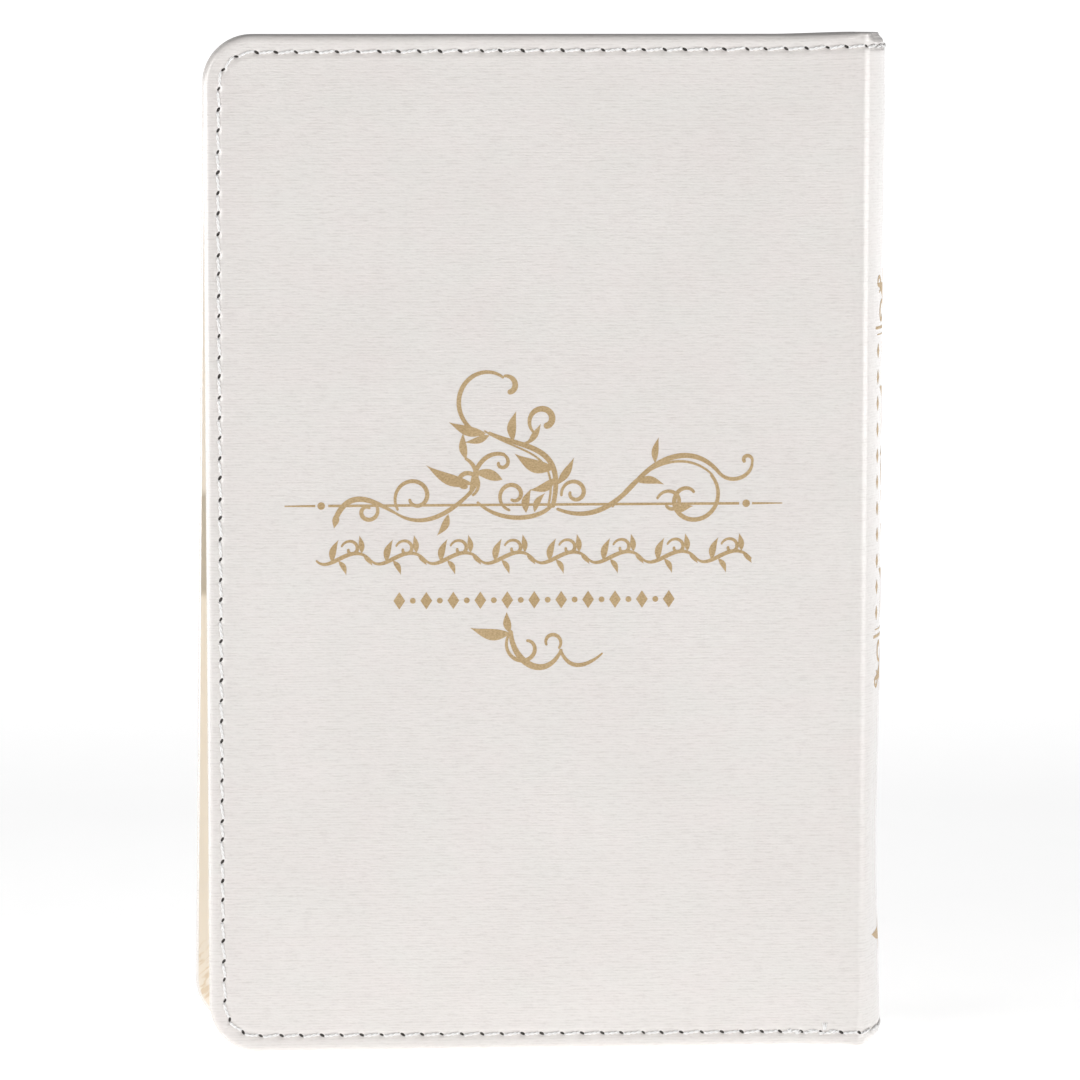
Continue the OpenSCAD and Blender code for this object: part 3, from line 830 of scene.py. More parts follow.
def add_thread(verts, faces, side, q0, half, outer, steps=16, sides=6, aside=0.0):
    """Two plies twisted round each other, which dive into the needle holes at both ends."""
    seed = leather_seed(side)
    phase = rng.uniform(0, 2 * math.pi)
    tilt = ROW_SLANT * rng.uniform(0.75, 1.3)
    reach = half - THREAD_SHORT
    for ply in (0, 1):
        base = len(verts)
        for k in range(steps + 1):
            t = 2 * k / steps - 1
            x = reach * t
            q = q0 + x
            margin = row_margin(q)
            dive = max(0.0, (abs(x) - (reach - DIVE_RUN)) / DIVE_RUN) ** 1.5
            swell = 1 - 0.25 * abs(t) ** 3
            a = phase + ply * math.pi + x * 2 * math.pi / PLY_TWIST
            lat = PLY_SWING[0] * math.cos(a) * swell - tilt * x
            up = PLY_SWING[1] * math.sin(a) * swell
            e = margin + aside + lat
            if outer:
                s, z = edge_point(q, margin)
                ground = outer_height(q, margin, seed) * 0.5 - 0.02
                ground -= 0.5 * headcap(s, margin, z)
                lift = ground + 0.13 + up - 0.62 * dive
            else:
                lift = 0.11 + up - 0.4 * dive
            for j in range(sides):
                b = 2 * math.pi * j / sides
                s, z = edge_point(q, e + PLY_R * swell * math.cos(b))
                h = lift + PLY_R * swell * math.sin(b)
                depth = -h if outer else layer_depth(s) + PAPER_T + h
                verts.append(place(side, s, z, depth))
        faces += wall(base, steps, sides) + [cap(base, sides), cap(base + steps * sides, sides)]


def stitch_runs():
    """The middle and half length of the run between each two needle holes."""
    return [((a + b) / 2, (b - a) / 2) for a, b in zip(HOLES, HOLES[1:])]


# Where the row begins and ends: short stitches over it (run, half length, sideways),
# and the cut end (run, sideways, length)
BACK_TACK = ((4.9, 0.95, 0.24), (6.9, 0.8, -0.22), (8.6, 0.95, 0.2), (10.9, 0.9, -0.2), (12.4, 0.8, 0.22))
TUFT = (6.3, 0.35, 1.35)


def thread_end(verts, faces, side, q0, e0, length):
    """The frayed end of the thread, standing in from the row."""
    seed = leather_seed(side)
    steps, sides = 5, 6
    for turn in (-0.3, 0.0, 0.28):
        base = len(verts)
        for k in range(steps + 1):
            t = k / steps
            e = row_margin(q0) + e0 + length * t * math.cos(turn)
            q = q0 + length * t * math.sin(turn)
            r = mix(0.2, 0.07, t)
            for j in range(sides):
                b = 2 * math.pi * j / sides
                s, z = edge_point(q + r * math.cos(b), e)
                lift = outer_height(q, e, seed) + 0.12 + r * math.sin(b)
                verts.append(place(side, s, z, -lift))
        faces += wall(base, steps, sides) + [cap(base, sides), cap(base + steps * sides, sides)]


def threads(side):
    verts, faces = [], []
    for q, half in stitch_runs():
        add_thread(verts, faces, side, q, half, True)
    if side == "back":
        for q, half, aside in BACK_TACK:
            add_thread(verts, faces, side, q, half, True, 10, 6, aside)
        thread_end(verts, faces, side, *TUFT)
    outer = new_object(f"{side}_stitches_outside", verts, faces, THREAD)
    verts, faces = [], []
    for q, half in stitch_runs():
        if 0 < q < ROW_RUN:
            add_thread(verts, faces, side, q, half, False, 12, 5)
    inner = new_object(f"{side}_stitches_inside", verts, faces, THREAD)
    bend_with(outer, side)
    bend_with(inner, side)
    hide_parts(f"{side}_cover_stitching")
    if side == "back":
        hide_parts("spine_stitching")


def hole_slit_shades(side):
    """A dark slit of painted shade where the needle went through: it stands for the shade inside the hole.
    The front cover leaves out the two on the spine's seam.
    """
    verts, faces = [], []
    seed = leather_seed(side)
    n = 12
    for i, q0 in enumerate(HOLES):
        if i in (0, len(HOLES) - 1) and side == "front":
            continue
        size = rng.uniform(0.88, 1.12)
        turn = HOLE_SLANT + rng.uniform(-0.15, 0.15)
        base = len(verts)
        # a low dark disc of painted shade, just above the leather's face
        for r, lift in ((1.0, 0.02), (0.8, 0.06), (0.4, 0.065)):
            for k in range(n):
                a = 2 * math.pi * k / n
                x, y = HOLE_L * size * r * math.cos(a), HOLE_W * size * r * math.sin(a)
                q = q0 + x * math.cos(turn) - y * math.sin(turn)
                e = row_margin(q0) + x * math.sin(turn) + y * math.cos(turn)
                s, z = edge_point(q, e)
                verts.append(place(side, s, z, -(outer_height(q, e, seed) + lift)))
        faces += wall(base, 2, n) + [cap(base + 2 * n, n)]
    ob = new_object(f"{side}_hole_slit_shades", verts, faces, HOLE_SHADE)
    bend_with(ob, side)


for side in SIDES:
    threads(side)
    hole_slit_shades(side)


# ---- Foil ornament: flat outlines in mm, drawn about their own centres ----
def curl(c, r0, r1, a0, a1, n=34):
    """Points along a spiral about c, whose radius and direction in degrees change evenly."""
    pts = []
    for k in range(n + 1):
        a, r = math.radians(mix(a0, a1, k / n)), mix(r0, r1, k / n)
        pts.append((c[0] + r * math.cos(a), c[1] + r * math.sin(a)))
    return pts


def sweep(p0, p1, p2, p3, n=26):
    """Points along a cubic curve."""
    pts = []
    for k in range(n + 1):
        t = k / n
        u = 1 - t
        pts.append(tuple(u**3 * p0[i] + 3 * u * u * t * p1[i] + 3 * u * t * t * p2[i] + t**3 * p3[i]
                         for i in (0, 1)))
    return pts


def stroke(p, w0, w1, belly=0.25):
    """A pen line along the points p with round ends, fuller in the middle."""
    n = len(p) - 1
    left, right = [], []
    for k in range(n + 1):
        a, b = p[max(k - 1, 0)], p[min(k + 1, n)]
        d = Vector((b[0] - a[0], b[1] - a[1])).normalized()
        w = mix(w0, w1, k / n) + belly * math.sin(math.pi * k / n)
        left.append((p[k][0] - d.y * w / 2, p[k][1] + d.x * w / 2))
        right.append((p[k][0] + d.y * w / 2, p[k][1] - d.x * w / 2))
    return [left + right[::-1], dot(p[0], w0), dot(p[-1], w1)]


def leaf(at, l, w, a, bend=0.0):
    """A pointed leaf from its root at, of the length l and width w, in the direction a in degrees."""
    upper = [(l * k / 12, w / 2 * math.sin(math.pi * (k / 12) ** 0.8) ** 1.2) for k in range(13)]
    pts = upper + [(x, -0.8 * y) for x, y in upper[-2:0:-1]]
    pts = [(x, y + bend * l * math.sin(math.pi * x / l)) for x, y in pts]
    c, s = math.cos(math.radians(a)), math.sin(math.radians(a))
    return [[(at[0] + c * x - s * y, at[1] + s * x + c * y) for x, y in pts]]


def dot(at, d):
    return [(at[0] + d / 2 * math.cos(math.pi * k / 7), at[1] + d / 2 * math.sin(math.pi * k / 7))
            for k in range(14)]


def lozenge(at, w, h):
    return [[(at[0] - w / 2, at[1]), (at[0], at[1] + h / 2), (at[0] + w / 2, at[1]), (at[0], at[1] - h / 2)]]


def bar(x0, y0, x1, y1):
    return [[(x0, y0), (x1, y0), (x1, y1), (x0, y1)]]


def foil_rule(l, w=0.44):
    polys = bar(-l / 2, -w / 2, l / 2, w / 2)
    for g in (-1, 1):
        polys.append(dot((g * (l / 2 + 1.2), 0), 1.3))
        polys.append([(g * (l / 2 + 2.2), w * 0.45), (g * (l / 2 + 7.4), 0.1), (g * (l / 2 + 7.4), -0.1),
                      (g * (l / 2 + 2.2), -w * 0.45)])
    return polys


def back_scrolls():
    """Stems, curls and leaves above and along the rule."""
    polys = []
    # pen lines: points, width at both ends and, where it isn't the usual one, the belly
    for p, *widths in (
        # the tall double stem with its curl
        (sweep((3.2, -0.2), (5.6, 10.5), (-1.5, 9.4), (-7.6, 12.2)), 0.75, 0.6),
        (sweep((2.4, -0.2), (4.6, 9.5), (-2.5, 8.6), (-8.4, 12.6)), 0.4, 0.3, 0.0),
        (curl((-7.2, 18.2), 6.6, 4.0, 258, 62), 0.6, 0.45),
        (curl((-4.6, 20.1), 1.9, 1.0, 100, -60), 0.5, 0.9),
        # a second stem inside the bend
        (sweep((-2.4, 10.4), (-0.8, 10.3), (-0.6, 11.2), (0.1, 12.15)), 0.4, 0.4, 0.1),
        (curl((1.6, 14.4), 2.7, 1.1, 235, -60), 0.4, 1.1),
        # waves and curls along the left of the rule
        (sweep((-33.5, -1.6), (-31, 3.2), (-27, 0.6), (-23.4, -1.4)), 0.9, 0.4),
        (sweep((-23.4, -1.4), (-19, -4.2), (-14.5, -1.4), (-11.4, 1.6)), 0.4, 0.6),
        (curl((-20.3, 1.4), 3.6, 1.0, 215, -150), 0.45, 0.5),
        (curl((-28.3, -1.0), 1.9, 0.7, 60, -290), 0.45, 0.5),
        (sweep((-11.4, 1.6), (-9.2, 3.6), (-9.4, 6.6), (-11.6, 7.9)), 0.6, 0.5),
        (curl((-11.6, 3.8), 2.4, 0.7, -60, 270), 0.45, 0.6),
        # two round curls on the rule, with a bowl beneath
        (sweep((-9.6, 0.4), (-5.5, -3.4), (1.0, -2.6), (3.0, -0.1)), 0.45, 0.6),
        (curl((-3.6, 1.6), 2.6, 0.8, 255, -105), 0.45, 0.5),
        (curl((6.9, 2.0), 2.3, 0.8, 190, -180), 0.45, 0.5),
        # the crest in the middle
        (sweep((-10.8, 2.0), (-10.6, 6.2), (-8.4, 9.4), (-5.2, 8.6)), 0.45, 0.6),
        (curl((-5.6, 7.2), 1.4, 0.5, 75, -170), 0.5, 0.5, 0.15),
        # the arch on the right with its curls
        (sweep((4.0, -0.8), (9, -2.8), (13, -1.0), (17.2, 3.6)), 0.5, 0.7),
        (sweep((17.2, 3.6), (21.5, 8.6), (27.6, 10.2), (31.6, 5.2)), 0.7, 0.6),
        (sweep((13.4, -0.4), (19.5, 8.4), (26.6, 8.8), (30.4, 4.9)), 0.35, 0.35, 0.1),
        (curl((26.6, 1.0), 5.3, 1.2, 46, -300), 0.55, 0.5),
        (curl((23.2, 0.2), 2.3, 0.7, 160, -160), 0.45, 0.5, 0.2),
        (sweep((31.6, 5.2), (33.6, 3.0), (37.4, 4.6), (37.2, 7.2)), 0.55, 0.4, 0.2),
        (curl((36.3, 7.4), 0.95, 0.5, -10, 200), 0.45, 0.6, 0.1),
    ):
        polys += stroke(p, *widths)
    # leaves: root, length, width, direction and bend
    for at, l, w, a, b in (
        ((-8.2, 12.2), 6.6, 1.9, 163, 0.06), ((-7.6, 11.9), 4.4, 1.3, 196, 0.05),
        ((-3.6, 10.8), 5.2, 1.7, 84, 0.08), ((-1.0, 10.4), 4.0, 1.2, 58, -0.05),
        ((-11.6, 7.8), 4.6, 1.5, 96, 0.05), ((-10.4, 3.6), 8.6, 2.2, 158, 0.08),
        ((-5.4, 4.3), 5.4, 2.0, 166, -0.08), ((3.6, 6.2), 7.4, 2.5, 160, 0.1),
        ((3.7, 4.6), 5.0, 1.7, 205, 0.12), ((3.9, 3.4), 5.4, 1.5, 58, -0.06),
        ((20.6, 7.0), 4.4, 1.3, 82, 0.05), ((17.4, 3.8), 4.8, 1.5, -6, 0.1),
        ((-1.4, -1.4), 4.2, 1.5, 78, 0.1), ((0.0, -1.3), 3.8, 1.2, 60, 0.1),
        ((-14.6, -1.5), 4.2, 1.4, -118, 0.08), ((-33.6, -1.3), 2.6, 1.3, -100, 0.0),
        ((24.2, -1.6), 3.2, 1.3, 22, 0.1),
    ):
        polys += leaf(at, l, w, a, b)
    return polys


def scroll_unit(w):
    """One unit of the running scroll: a wave of the stem with a curl and four leaves."""
    polys = stroke(sweep((-w / 2, -1.2), (-w / 4, -3.6), (w / 8, 2.6), (w / 2, -1.2)), 0.35, 0.35, 0.35)
    polys += stroke(curl((w * 0.13, 0.75), 1.65, 0.45, 160, -170), 0.35, 0.45, 0.2)
    polys += leaf((-w * 0.22, -1.5), w * 0.44, 1.3, 74, 0.08)
    polys += leaf((w * 0.33, 0.1), w * 0.33, 1.1, 98, -0.06)
    polys += leaf((-w * 0.1, -1.2), w * 0.3, 1.0, -62, 0.08)
    polys += leaf((w * 0.36, -0.4), w * 0.24, 0.9, -48, 0.06)
    return polys


def bead_row(l, n):
    step = l / (n - 1)
    polys = []
    for k in range(n):
        polys += lozenge((k * step - l / 2, 0), 2.0, 3.0)
        if k < n - 1:
            polys.append(dot(((k + 0.5) * step - l / 2, 0), 1.0))
    return polys


def sprig():
    polys = stroke(curl((0, -0.3), 3.5, 1.1, 135, 425), 0.4, 0.5)
    polys += stroke(curl((4.7, 0.4), 1.5, 1.1, -40, 200), 0.4, 0.4)
    polys += stroke(sweep((-2.4, 2.2), (-2.2, -3.2), (3.6, -6.6), (6.2, -1.0)), 0.7, 0.5, 0.5)
    polys += stroke(sweep((6.1, -1.0), (7.6, -5.0), (11.0, -3.6), (13.2, -1.6)), 0.5, 0.3, 0.3)
    return polys + leaf((-2.4, 2.0), 7.0, 2.2, 172, 0.08) + leaf((-2.6, 2.1), 3.6, 1.5, 98, 0.04)


def moved(polys, dx, dy, k=1.0):
    return [[(x * k + dx, y * k + dy) for x, y in p] for p in polys]


def upright(polys):
    return [[(-y, x) for x, y in p] for p in polys]


def fine(poly, step=1.0):
    """The outline with its long edges divided, and run anticlockwise."""
    out = []
    for a, b in zip(poly, poly[1:] + poly[:1]):
        n = max(1, math.ceil(math.dist(a, b) / step))
        out += [(mix(a[0], b[0], k / n), mix(a[1], b[1], k / n)) for k in range(n)]
    area = sum(a[0] * b[1] - b[0] * a[1] for a, b in zip(out, out[1:] + out[:1]))
    return out if area > 0 else out[::-1]


def foil_piece(name, polys, at, top=0.035, under=-0.02):
    """The union of the outlines as one thin leaf of foil. at(x, z, lift) gives the place in the row frame."""
    pts, given = [], []
    for p in polys:
        p = fine(p)
        given.append(list(range(len(pts), len(pts) + len(p))))
        pts += [Vector(q) for q in p]
    out, _, tris, _, _, owners = delaunay_2d_cdt(pts, [], given, 1, 1e-4)
    tris = [t for t, o in zip(tris, owners) if o]
    used = sorted({k for t in tris for k in t})
    index = {k: i for i, k in enumerate(used)}
    n = len(used)
    flat = [(out[k].x, out[k].y) for k in used]
    verts = [at(x, z, top) for x, z in flat] + [at(x, z, under) for x, z in flat]
    faces, seen = [], set()
    for t in tris:
        ids = [index[k] for k in t]
        faces.append(ids)
        for a, b in zip(ids, ids[1:] + ids[:1]):
            seen.add((a, b))
    for a, b in sorted(seen):
        if (b, a) not in seen:
            faces.append([a, a + n, b + n, b])
    ob = new_object(name, verts, faces, FOIL, uvs=flat + flat, sharp=40)
    return ob


ORNAMENT_S = COVER_W / 2 - 0.4  # the run of the ornament's middle


def cover_place(side):
    seed = leather_seed(side)
    turn = 1 if side == "back" else -1

    def at(x, z, lift):
        s = ORNAMENT_S + turn * x
        return place(side, s, z, -(lift + broad_relief(s, z, seed)))
    return at


def spine_place(x, z, lift):
    side = "front" if x > 0 else "back"
    s = WHOLE - abs(x)
    return place(side, s, z, -(lift + broad_relief(s, z, leather_seed(side))))


def back_design():
    """A rule with scrolls, a running scroll, a row of lozenges and a sprig."""
    polys = moved(foil_rule(70) + back_scrolls(), 0, 93.8)
    units, width = 8, 74.0
    for k in range(units):
        polys += moved(scroll_unit(width / units), (k + 0.5) * width / units - width / 2, 85.6)
    return polys + moved(bead_row(46, 11), 0, 77.5) + moved(sprig(), -1.6, 69.8)


def front_design():
    """A plain cross in a wreath between two rules, with a short row of lozenges."""
    polys = bar(-1.2, -12, 1.2, 12) + bar(-7, 2.4, 7, 4.8)
    for g in (-1, 1):
        polys += lozenge((g * 7.4, 3.6), 2.6, 3.6) + lozenge((0, g * 12.6), 3.6, 2.6)
    leaves, r = 20, 20
    for k in range(leaves):
        a = 360 * (k + 0.5) / leaves
        at = (r * math.cos(math.radians(a)), r * math.sin(math.radians(a)))
        polys += leaf(at, 6.4, 2.0, a + 62, 0.06)
        polys += stroke(curl((0, 0), r, r, a - 9.5, a + 9.5, 8), 0.4, 0.4, 0.05)
    polys = moved(polys, 0, COVER_H * 0.6)
    for z in (0.4, 0.8):
        polys += moved(foil_rule(40), 0, COVER_H * z)
    return polys + moved(bead_row(24, 6), 0, COVER_H * 0.36)


def spine_design():
    """Rules, a column of scrolls between them, a spray above and below, and a lozenge near the tail."""
    polys = bar(-9.5, 69.9, 9.5, 70.4) + bar(-9.5, 123.1, 9.5, 123.6)
    polys += bar(-8.5, 71.2, 8.5, 71.4) + bar(-8.5, 122.1, 8.5, 122.3)
    column = []
    for k in range(3):
        unit = moved(scroll_unit(9.0), 0, 0, 1.75)
        g = 1 if k % 2 else -1
        column += moved([[(x * g, y) for x, y in p] for p in upright(unit)], 0, 81.0 + 15.75 * k)
    polys += column
    for x in (-7.8, 7.8):
        for k in range(11):
            polys += lozenge((x, 74.2 + 4.52 * k), 1.5, 2.5)
    for z, g in ((66.4, -1), (127.1, 1)):
        for h in (-1, 1):
            spray = leaf((0.3, 0), 9.4, 2.5, 24, 0.08) + leaf((0.2, 0.4), 6.4, 2.0, 66, 0.05)
            spray += stroke(curl((5.0, -1.4), 2.6, 0.7, 165, -150), 0.45, 0.6, 0.2)
            spray += stroke(curl((7.6, 3.9), 1.6, 0.5, 250, -60), 0.4, 0.55, 0.15)
            polys += [[(x * h, z + y * g) for x, y in p] for p in spray]
        polys += lozenge((0, z + g * 7.6), 1.6, 2.8)
    polys += lozenge((0, 18.4), 8.0, 12.0)
    for g in (-1, 1):
        polys.append(dot((0, 18.4 + g * 7.8), 1.2))
        polys += leaf((0, 18.4), 9.4, 2.2, 90 - g * 90, 0.05)
    return polys


for side, design in (("back", back_design), ("front", front_design)):
    ob = foil_piece(f"{side}_foil", design(), cover_place(side))
    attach(ob, f"{side}_cover")
    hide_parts(f"{side}_cover_ornament")
ob = foil_piece("spine_foil", spine_design(), spine_place)
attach(ob, "spine")
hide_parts("spine_ornament")


# ---- Endpapers, pasted down and loose ----
def paper_sheet(name, columns, at, mat, thick):
    """A thin closed sheet from columns (run, z0, z1), each with several points up it.
    at(run, z, depth) gives the place in the row frame, and the sheet is thick deep."""
    rows = 24
    verts, uvs = [], []
    for run, z0, z1 in columns:
        for depth in (0.0, thick):
            for k in range(rows + 1):
                z = mix(z0, z1, k / rows)
                verts.append(at(run, z, depth))
                uvs.append((run, z))
    return new_object(name, verts, sheet_faces(0, len(columns) - 1, rows), mat, uvs=uvs, sharp=60)


def rounded_columns(start, end, inset, r, z0, z1, step):
    """Columns of a sheet whose corners at its start are rounded."""
    cols = []
    for k in range(13):
        a = math.pi / 2 * k / 12
        drop = r * (1 - math.sin(a))
        cols.append((start + inset + r * (1 - math.cos(a)), z0 + drop, z1 - drop))
    n = max(1, round((end - start - inset - r) / step))
    return cols + [(mix(start + inset + r, end, k / n), z0, z1) for k in range(1, n + 1)]


PASTE_MARGIN = 0.45  # leather left bare around the pasted-down endpaper
STRIP_AT = COVER_W - 1.5  # here the paper leaves the cover for the folds
STRIP_RUN = 2.1
STRIP_STEPS = 14
STRIP_WHOLE = 9  # up to this step it has its full height, and then it stops short of head and tail
STRIP_SHORT = 4.0


def strip_point(t):
    """The endpaper's middle line over the joint, from the cover (0) to the folds (1)."""
    p = [(HINGE_X - 1.5, COVER_IN + PAPER_T / 2), (HINGE_X - 0.7, COVER_IN + PAPER_T / 2),
         (HINGE_X - 0.1, COVER_IN - 0.05), (HINGE_X - 0.12, COVER_IN - 0.42)]
    u = 1 - t
    c = (u**3, 3 * u * u * t, 3 * u * t * t, t**3)
    return Vector((sum(k * q[0] for k, q in zip(c, p)), sum(k * q[1] for k, q in zip(c, p))))


def pastedown(side):
    """The endpaper on the inside of a cover, and its strip over the joint."""
    def at(run, z, depth):
        if run <= STRIP_AT:
            p = place(side, run, z)
            return Vector((p.x, SIDES[side] * (COVER_IN + depth), z))
        t = min(1.0, (run - STRIP_AT) / STRIP_RUN)
        c = strip_point(t)
        d = (strip_point(min(1, t + 0.01)) - strip_point(max(0, t - 0.01))).normalized()
        off = depth - PAPER_T / 2
        return Vector((c.x - d.y * off, SIDES[side] * (c.y + d.x * off), z))

    cols = rounded_columns(0, STRIP_AT, PASTE_MARGIN, CORNER_R - PASTE_MARGIN,
                           PASTE_MARGIN, COVER_H - PASTE_MARGIN, 9.0)
    for k in range(1, STRIP_STEPS + 1):
        e = PASTE_MARGIN if k <= STRIP_WHOLE else STRIP_SHORT
        cols.append((STRIP_AT + STRIP_RUN * k / STRIP_STEPS, e, COVER_H - e))
    ob = paper_sheet(f"{side}_lining", cols, at, LINING, PAPER_T)
    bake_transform(ob)
    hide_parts(f"{side}_cover_pastedown")


def flyleaf(side):
    """A loose leaf with a faint ripple, with more columns of points near the fold."""
    lo, hi = box_mm(f"{side}_flyleaf")
    inner = min(abs(lo.y), abs(hi.y))

    def at(x, z, depth):
        ripple = 0.02 * noise.noise(Vector((x / 40, z / 50, 5.0)))
        return Vector((x, SIDES[side] * (inner + ripple + depth), z))

    cols = rounded_columns(lo.x, HINGE_X - 12, 0, PAGE_CORNER_R, lo.z, hi.z, 8.0)
    cols += [(mix(HINGE_X - 12, HINGE_X - 0.5, k / 14), lo.z, hi.z) for k in range(1, 15)]
    ob = paper_sheet(f"{side}_flyleaf_paper", cols, at, FLYLEAF, hi.y - lo.y)
    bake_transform(ob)
    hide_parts(f"{side}_flyleaf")


for side in SIDES:
    pastedown(side)
    flyleaf(side)


# ---- The text block: each signature is a stack of leaves with gilt edges ----
LEAF_GROUPS = 5
GROUP_GAP = 0.008  # half the gap between two groups of leaves
TURN_RUN = 12.0  # the leaves have closer columns of points over this width beside the fold
FOLD_R = 0.5  # the fold rounds over within this
FOLD_LEAST = 0.06  # share of the signature's thickness that is left at the fold itself
UNEVEN_OUT, UNEVEN_DROP = 0.07, 0.05  # how far a group may lie in from the others at fore-edge, head and tail


def signature(name):
    """Groups of leaves that meet at the fold. Their edges are gilt; their faces and the fold are paper."""
    lo, hi = box_mm(name)
    y0, y1 = lo.y, hi.y
    mid = (y0 + y1) / 2
    fold_x = hi.x
    pitch = (y1 - y0) / LEAF_GROUPS
    verts, faces, kinds = [], [], []
    paper, gilt = 0, 1
    for g in range(LEAF_GROUPS):
        a, b = y0 + g * pitch + GROUP_GAP, y0 + (g + 1) * pitch - GROUP_GAP
        out = rng.uniform(0, UNEVEN_OUT)
        drop = rng.uniform(0, UNEVEN_DROP)
        z0, z1 = lo.z + drop, hi.z - drop
        turn_x, round_x = fold_x - TURN_RUN - 1, fold_x - FOLD_R
        cols = rounded_columns(lo.x + out, turn_x, 0, PAGE_CORNER_R, z0, z1, 45.0)
        cols += [(mix(turn_x, round_x, k / 13), z0, z1) for k in range(1, 14)]
        cols += [(round_x + FOLD_R * math.sin(math.pi / 2 * k / 4), z0, z1) for k in range(1, 5)]
        base = len(verts)
        for x, low, high in cols:
            into = max(0.0, (x - round_x) / FOLD_R)
            k = math.sqrt(max(0.0, 1 - into * into)) * (1 - FOLD_LEAST) + FOLD_LEAST
            for y in (mid + (a - mid) * k, mid + (b - mid) * k):
                verts += [(x, y, low), (x, y, high)]
        n = len(cols)
        for c in range(n - 1):
            p, q = base + 4 * c, base + 4 * c + 4
            faces += [[p, p + 1, q + 1, q], [p + 2, q + 2, q + 3, p + 3], [p, q, q + 2, p + 2],
                      [p + 1, p + 3, q + 3, q + 1]]
            kinds += [paper, paper, gilt, gilt]
        faces += [[base, base + 2, base + 3, base + 1],
                  [base + 4 * n - 4, base + 4 * n - 3, base + 4 * n - 1, base + 4 * n - 2]]
        kinds += [gilt, paper]
    ob = new_object(f"{name}_leaves", verts, faces, [PAGE, GILT], face_mats=kinds, sharp=25)
    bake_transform(ob)
    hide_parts(name)


for k in range(SIGNATURES):
    signature(f"signature_{k + 1:02d}")


# ---- Head and tail bands: silk worked over a core, with a cloth tongue down the back ----
BEAD_R = 0.75
WRAPS = 36  # turns of silk along a bead


def silk_bead(verts, uvs, x, z, reach):
    """The bead along y, with a low rise at each turn of the silk and rounded ends."""
    steps, sides = 6, 16
    rows = WRAPS * steps
    for k in range(rows + 1):
        y = mix(-reach, reach, k / rows)
        w = 0.045 * abs(math.sin(math.pi * k / steps))
        end = math.sqrt(max(0.0, 1 - max(0.0, (abs(y) - (reach - 0.3)) / 0.3) ** 2)) * 0.8 + 0.2
        r = (BEAD_R - 0.05 + w) * end
        for j in range(sides):
            a = 2 * math.pi * j / sides
            verts.append((x + r * math.cos(a), y + 0.1 * math.sin(a), z + r * math.sin(a)))
            uvs.append((y, 3 + j * 0.3))
    return wall(0, rows, sides) + [cap(0, sides), cap(rows * sides, sides)]


def silk_knots(verts, uvs, x, z, reach):
    """The row of small knots where the silk crosses over the edge of the leaves."""
    rings, sides = 5, 8
    faces = []
    for k in range(WRAPS):
        y = mix(-reach + 0.3, reach - 0.3, (k + 0.5) / WRAPS)
        base = len(verts)
        for i in range(rings):
            b = math.pi * (i + 0.5) / rings
            for j in range(sides):
                a = 2 * math.pi * j / sides
                verts.append((x + 0.2 * math.sin(b) * math.cos(a), y + 0.26 * math.cos(b),
                              z + 0.16 * math.sin(b) * math.sin(a)))
                uvs.append((y, 0.5 * j))
        faces += wall(base, rings - 1, sides) + [cap(base, sides), cap(base + (rings - 1) * sides, sides)]
    return faces


def band_cloth(verts, uvs, path, reach):
    """Web and tongue, as one bent strip of cloth along the path (x, z)."""
    base, cols = len(verts), 20
    for i, (x, z) in enumerate(path):
        a, b = path[max(i - 1, 0)], path[min(i + 1, len(path) - 1)]
        d = Vector((b[0] - a[0], b[1] - a[1])).normalized()
        for off in (-0.13, 0.13):
            for k in range(cols + 1):
                y = mix(-reach + 0.1, reach - 0.1, k / cols)
                verts.append((x - d.y * off, y, z + d.x * off))
                uvs.append((y, 10 + i * 2))
    return sheet_faces(base, len(path) - 1, cols)


def band(name):
    lo, hi = box_mm(name)
    # g points from the pages to the open end of the spine
    g, z_end = (1, lo.z) if name == "headband" else (-1, hi.z)
    x, z = lo.x + BEAD_R, (hi.z if g > 0 else lo.z) - g * BEAD_R
    verts, uvs = [], []
    faces = silk_bead(verts, uvs, x, z, hi.y)
    faces += silk_knots(verts, uvs, x - 0.42, z - g * 0.62, hi.y)
    path = [(x + 0.3, z), (hi.x - 0.75, z), (hi.x - 0.35, z - g * 0.1), (hi.x - 0.16, z - g * 0.45),
            (hi.x - 0.15, z - g * 1.2), (hi.x - 0.15, z_end + g * 0.05)]
    faces += band_cloth(verts, uvs, path, hi.y)
    ob = new_object(f"{name}_silk", verts, faces, SILK, uvs=uvs, sharp=60)
    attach(ob, "spine")
    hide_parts(name)


for name in ("headband", "tailband"):
    band(name)


# ---- The card behind the spine's leather ----
def inlay():
    """The card follows the leather's inner face over most of the spine's large arc."""
    lo, hi = box_mm("spine_inlay")
    half = 0.9 * LARGE_RUN
    cols, rows = 30, 20
    verts = []
    for c in range(cols + 1):
        u = mix(-half, half, c / cols)
        for depth in (LEATHER_T + 0.01, LEATHER_T + INLAY_T):
            for k in range(rows + 1):
                z = mix(lo.z + 0.6, hi.z - 0.6, k / rows)
                verts.append(place("front" if u > 0 else "back", WHOLE - abs(u), z, depth))
    ob = new_object("spine_inlay_card", verts, sheet_faces(0, cols, rows), CARD, sharp=50)
    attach(ob, "spine")
    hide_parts("spine_inlay")


inlay()

# ---- Carried-over CAD nodes ----
CAD_MATERIALS = {"spine_glue": GLUE, "spine_crash_cloth": MULL, "spine_liner": CARD, "sewing_thread": THREAD}
for side in SIDES:
    CAD_MATERIALS |= {f"{side}_cover_board": BOARD, f"{side}_cover_infill_card": CARD,
                      f"{side}_cover_crash_flange": MULL}
for name, mat in CAD_MATERIALS.items():
    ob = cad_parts[name]
    if not ob.material_slots:
        ob.data.materials.append(mat)
    for sl in ob.material_slots:
        sl.material = mat

# ---- Stage: a pale floor, which glows a little so that the background stays white ----
FLOOR_R = 6.0  # metres
FLOOR_Z = -0.9  # under the leather's lowest point, which is under the tail plane
GLOW = {"From Min": 0.25, "From Max": 0.9, "To Min": 0.7, "To Max": 1.1}  # its strength over y, in metres


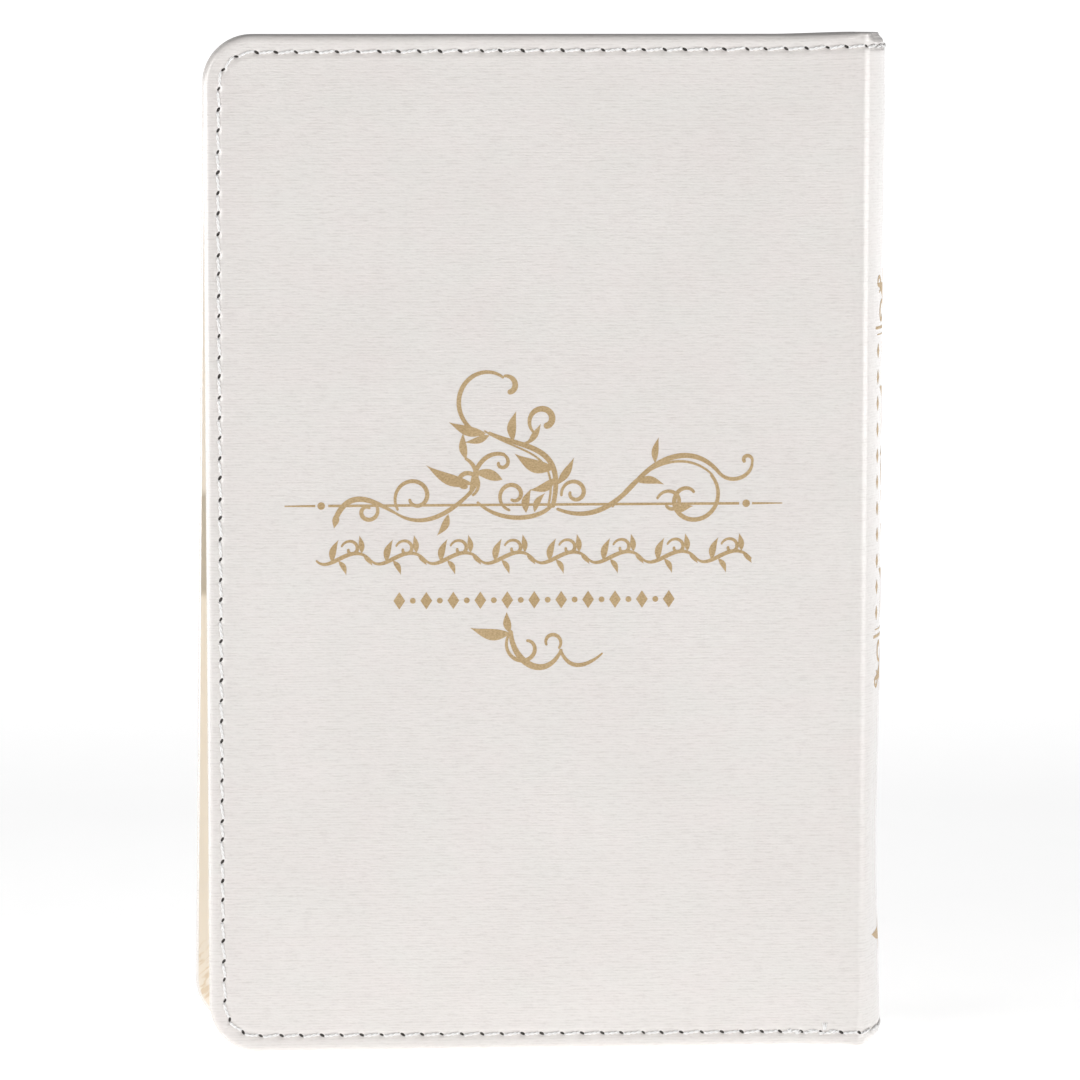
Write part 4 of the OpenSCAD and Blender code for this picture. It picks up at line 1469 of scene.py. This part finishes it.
def stage():
    m, nt, b = material("studio_floor")
    t = noise_tex(nt, coords(nt, False, (60, 60, 60)), 2, 0.5)
    y = node(nt, "ShaderNodeSeparateXYZ", {"Vector": coords(nt, False)}).outputs[1]
    fill(nt, b, {
        "Base Color": ramp(nt, t, [(0.3, 0.88), (0.7, 0.91)]), "Roughness": 0.9, "Specular IOR Level": 0.1,
        "Emission Color": (1, 1, 1, 1),
        "Emission Strength": node(nt, "ShaderNodeMapRange", {"Value": y, **GLOW}).outputs[0]})
    rings, spokes = (0.4, 1.0, 2.5, FLOOR_R), 48
    verts = [(0, 0, FLOOR_Z)]
    for r in rings:
        for k in range(spokes):
            a = 2 * math.pi * k / spokes
            verts.append((r / M * math.cos(a), r / M * math.sin(a), FLOOR_Z))
    faces = [[0, 1 + k, 1 + (k + 1) % spokes] for k in range(spokes)]
    faces += wall(1, len(rings) - 1, spokes)
    new_object("studio_floor", verts, faces, m)


stage()


def area_light(name, at, to, size, power):
    """A rectangular lamp in metres and watts, which faces the point to."""
    data = bpy.data.lights.new(name, "AREA")
    data.shape = "RECTANGLE"
    data.size, data.size_y = size
    data.energy = power
    ob = bpy.data.objects.new(name, data)
    ob.location = at
    ob.rotation_mode = "QUATERNION"
    ob.rotation_quaternion = (Vector(to) - Vector(at)).to_track_quat("-Z", "Y")
    scene.collection.objects.link(ob)


area_light("right_box", (0.82, -0.38, 0.16), (0.05, 0, 0.09), (0.95, 0.9), 4.5)
area_light("left_box", (-0.75, -0.8, 0.25), (-0.03, 0, 0.09), (0.5, 0.7), 3.3)
# a low lamp near the ridge, since a far one's reflection there would lie under the floor
area_light("ridge_lamp", (0.215, -0.08, 0.056), (0.054, 0, 0.056), (0.14, 0.11), 0.018)
# a narrow lamp in the plane of the covers, which lights the edges and the lining beside them
area_light("edge_lamp", (-0.35, -0.024, 0.09), (-0.05, 0, 0.09), (0.04, 0.26), 0.4)

# ---- Sky: bright at the horizon, where it meets the floor, and softer towards the top ----
SKY = [(0.0, 5.0), (0.03, 5.0), (0.06, 1.0), (0.35, 0.95), (0.75, (0.55, 0.55, 0.56)),
       (1.0, (0.5, 0.5, 0.51))]
SKY_STRENGTH = 0.22
world = bpy.data.worlds.new("studio")
world.use_nodes = True
wn = world.node_tree
sky_at = node(wn, "ShaderNodeTexCoord", {}).outputs["Generated"]
sky_up = node(wn, "ShaderNodeSeparateXYZ", {"Vector": sky_at}).outputs[2]
fill(wn, wn.nodes["Background"], {"Color": ramp(wn, sky_up, SKY), "Strength": SKY_STRENGTH})
scene.world = world
scene.view_settings.view_transform = "Standard"
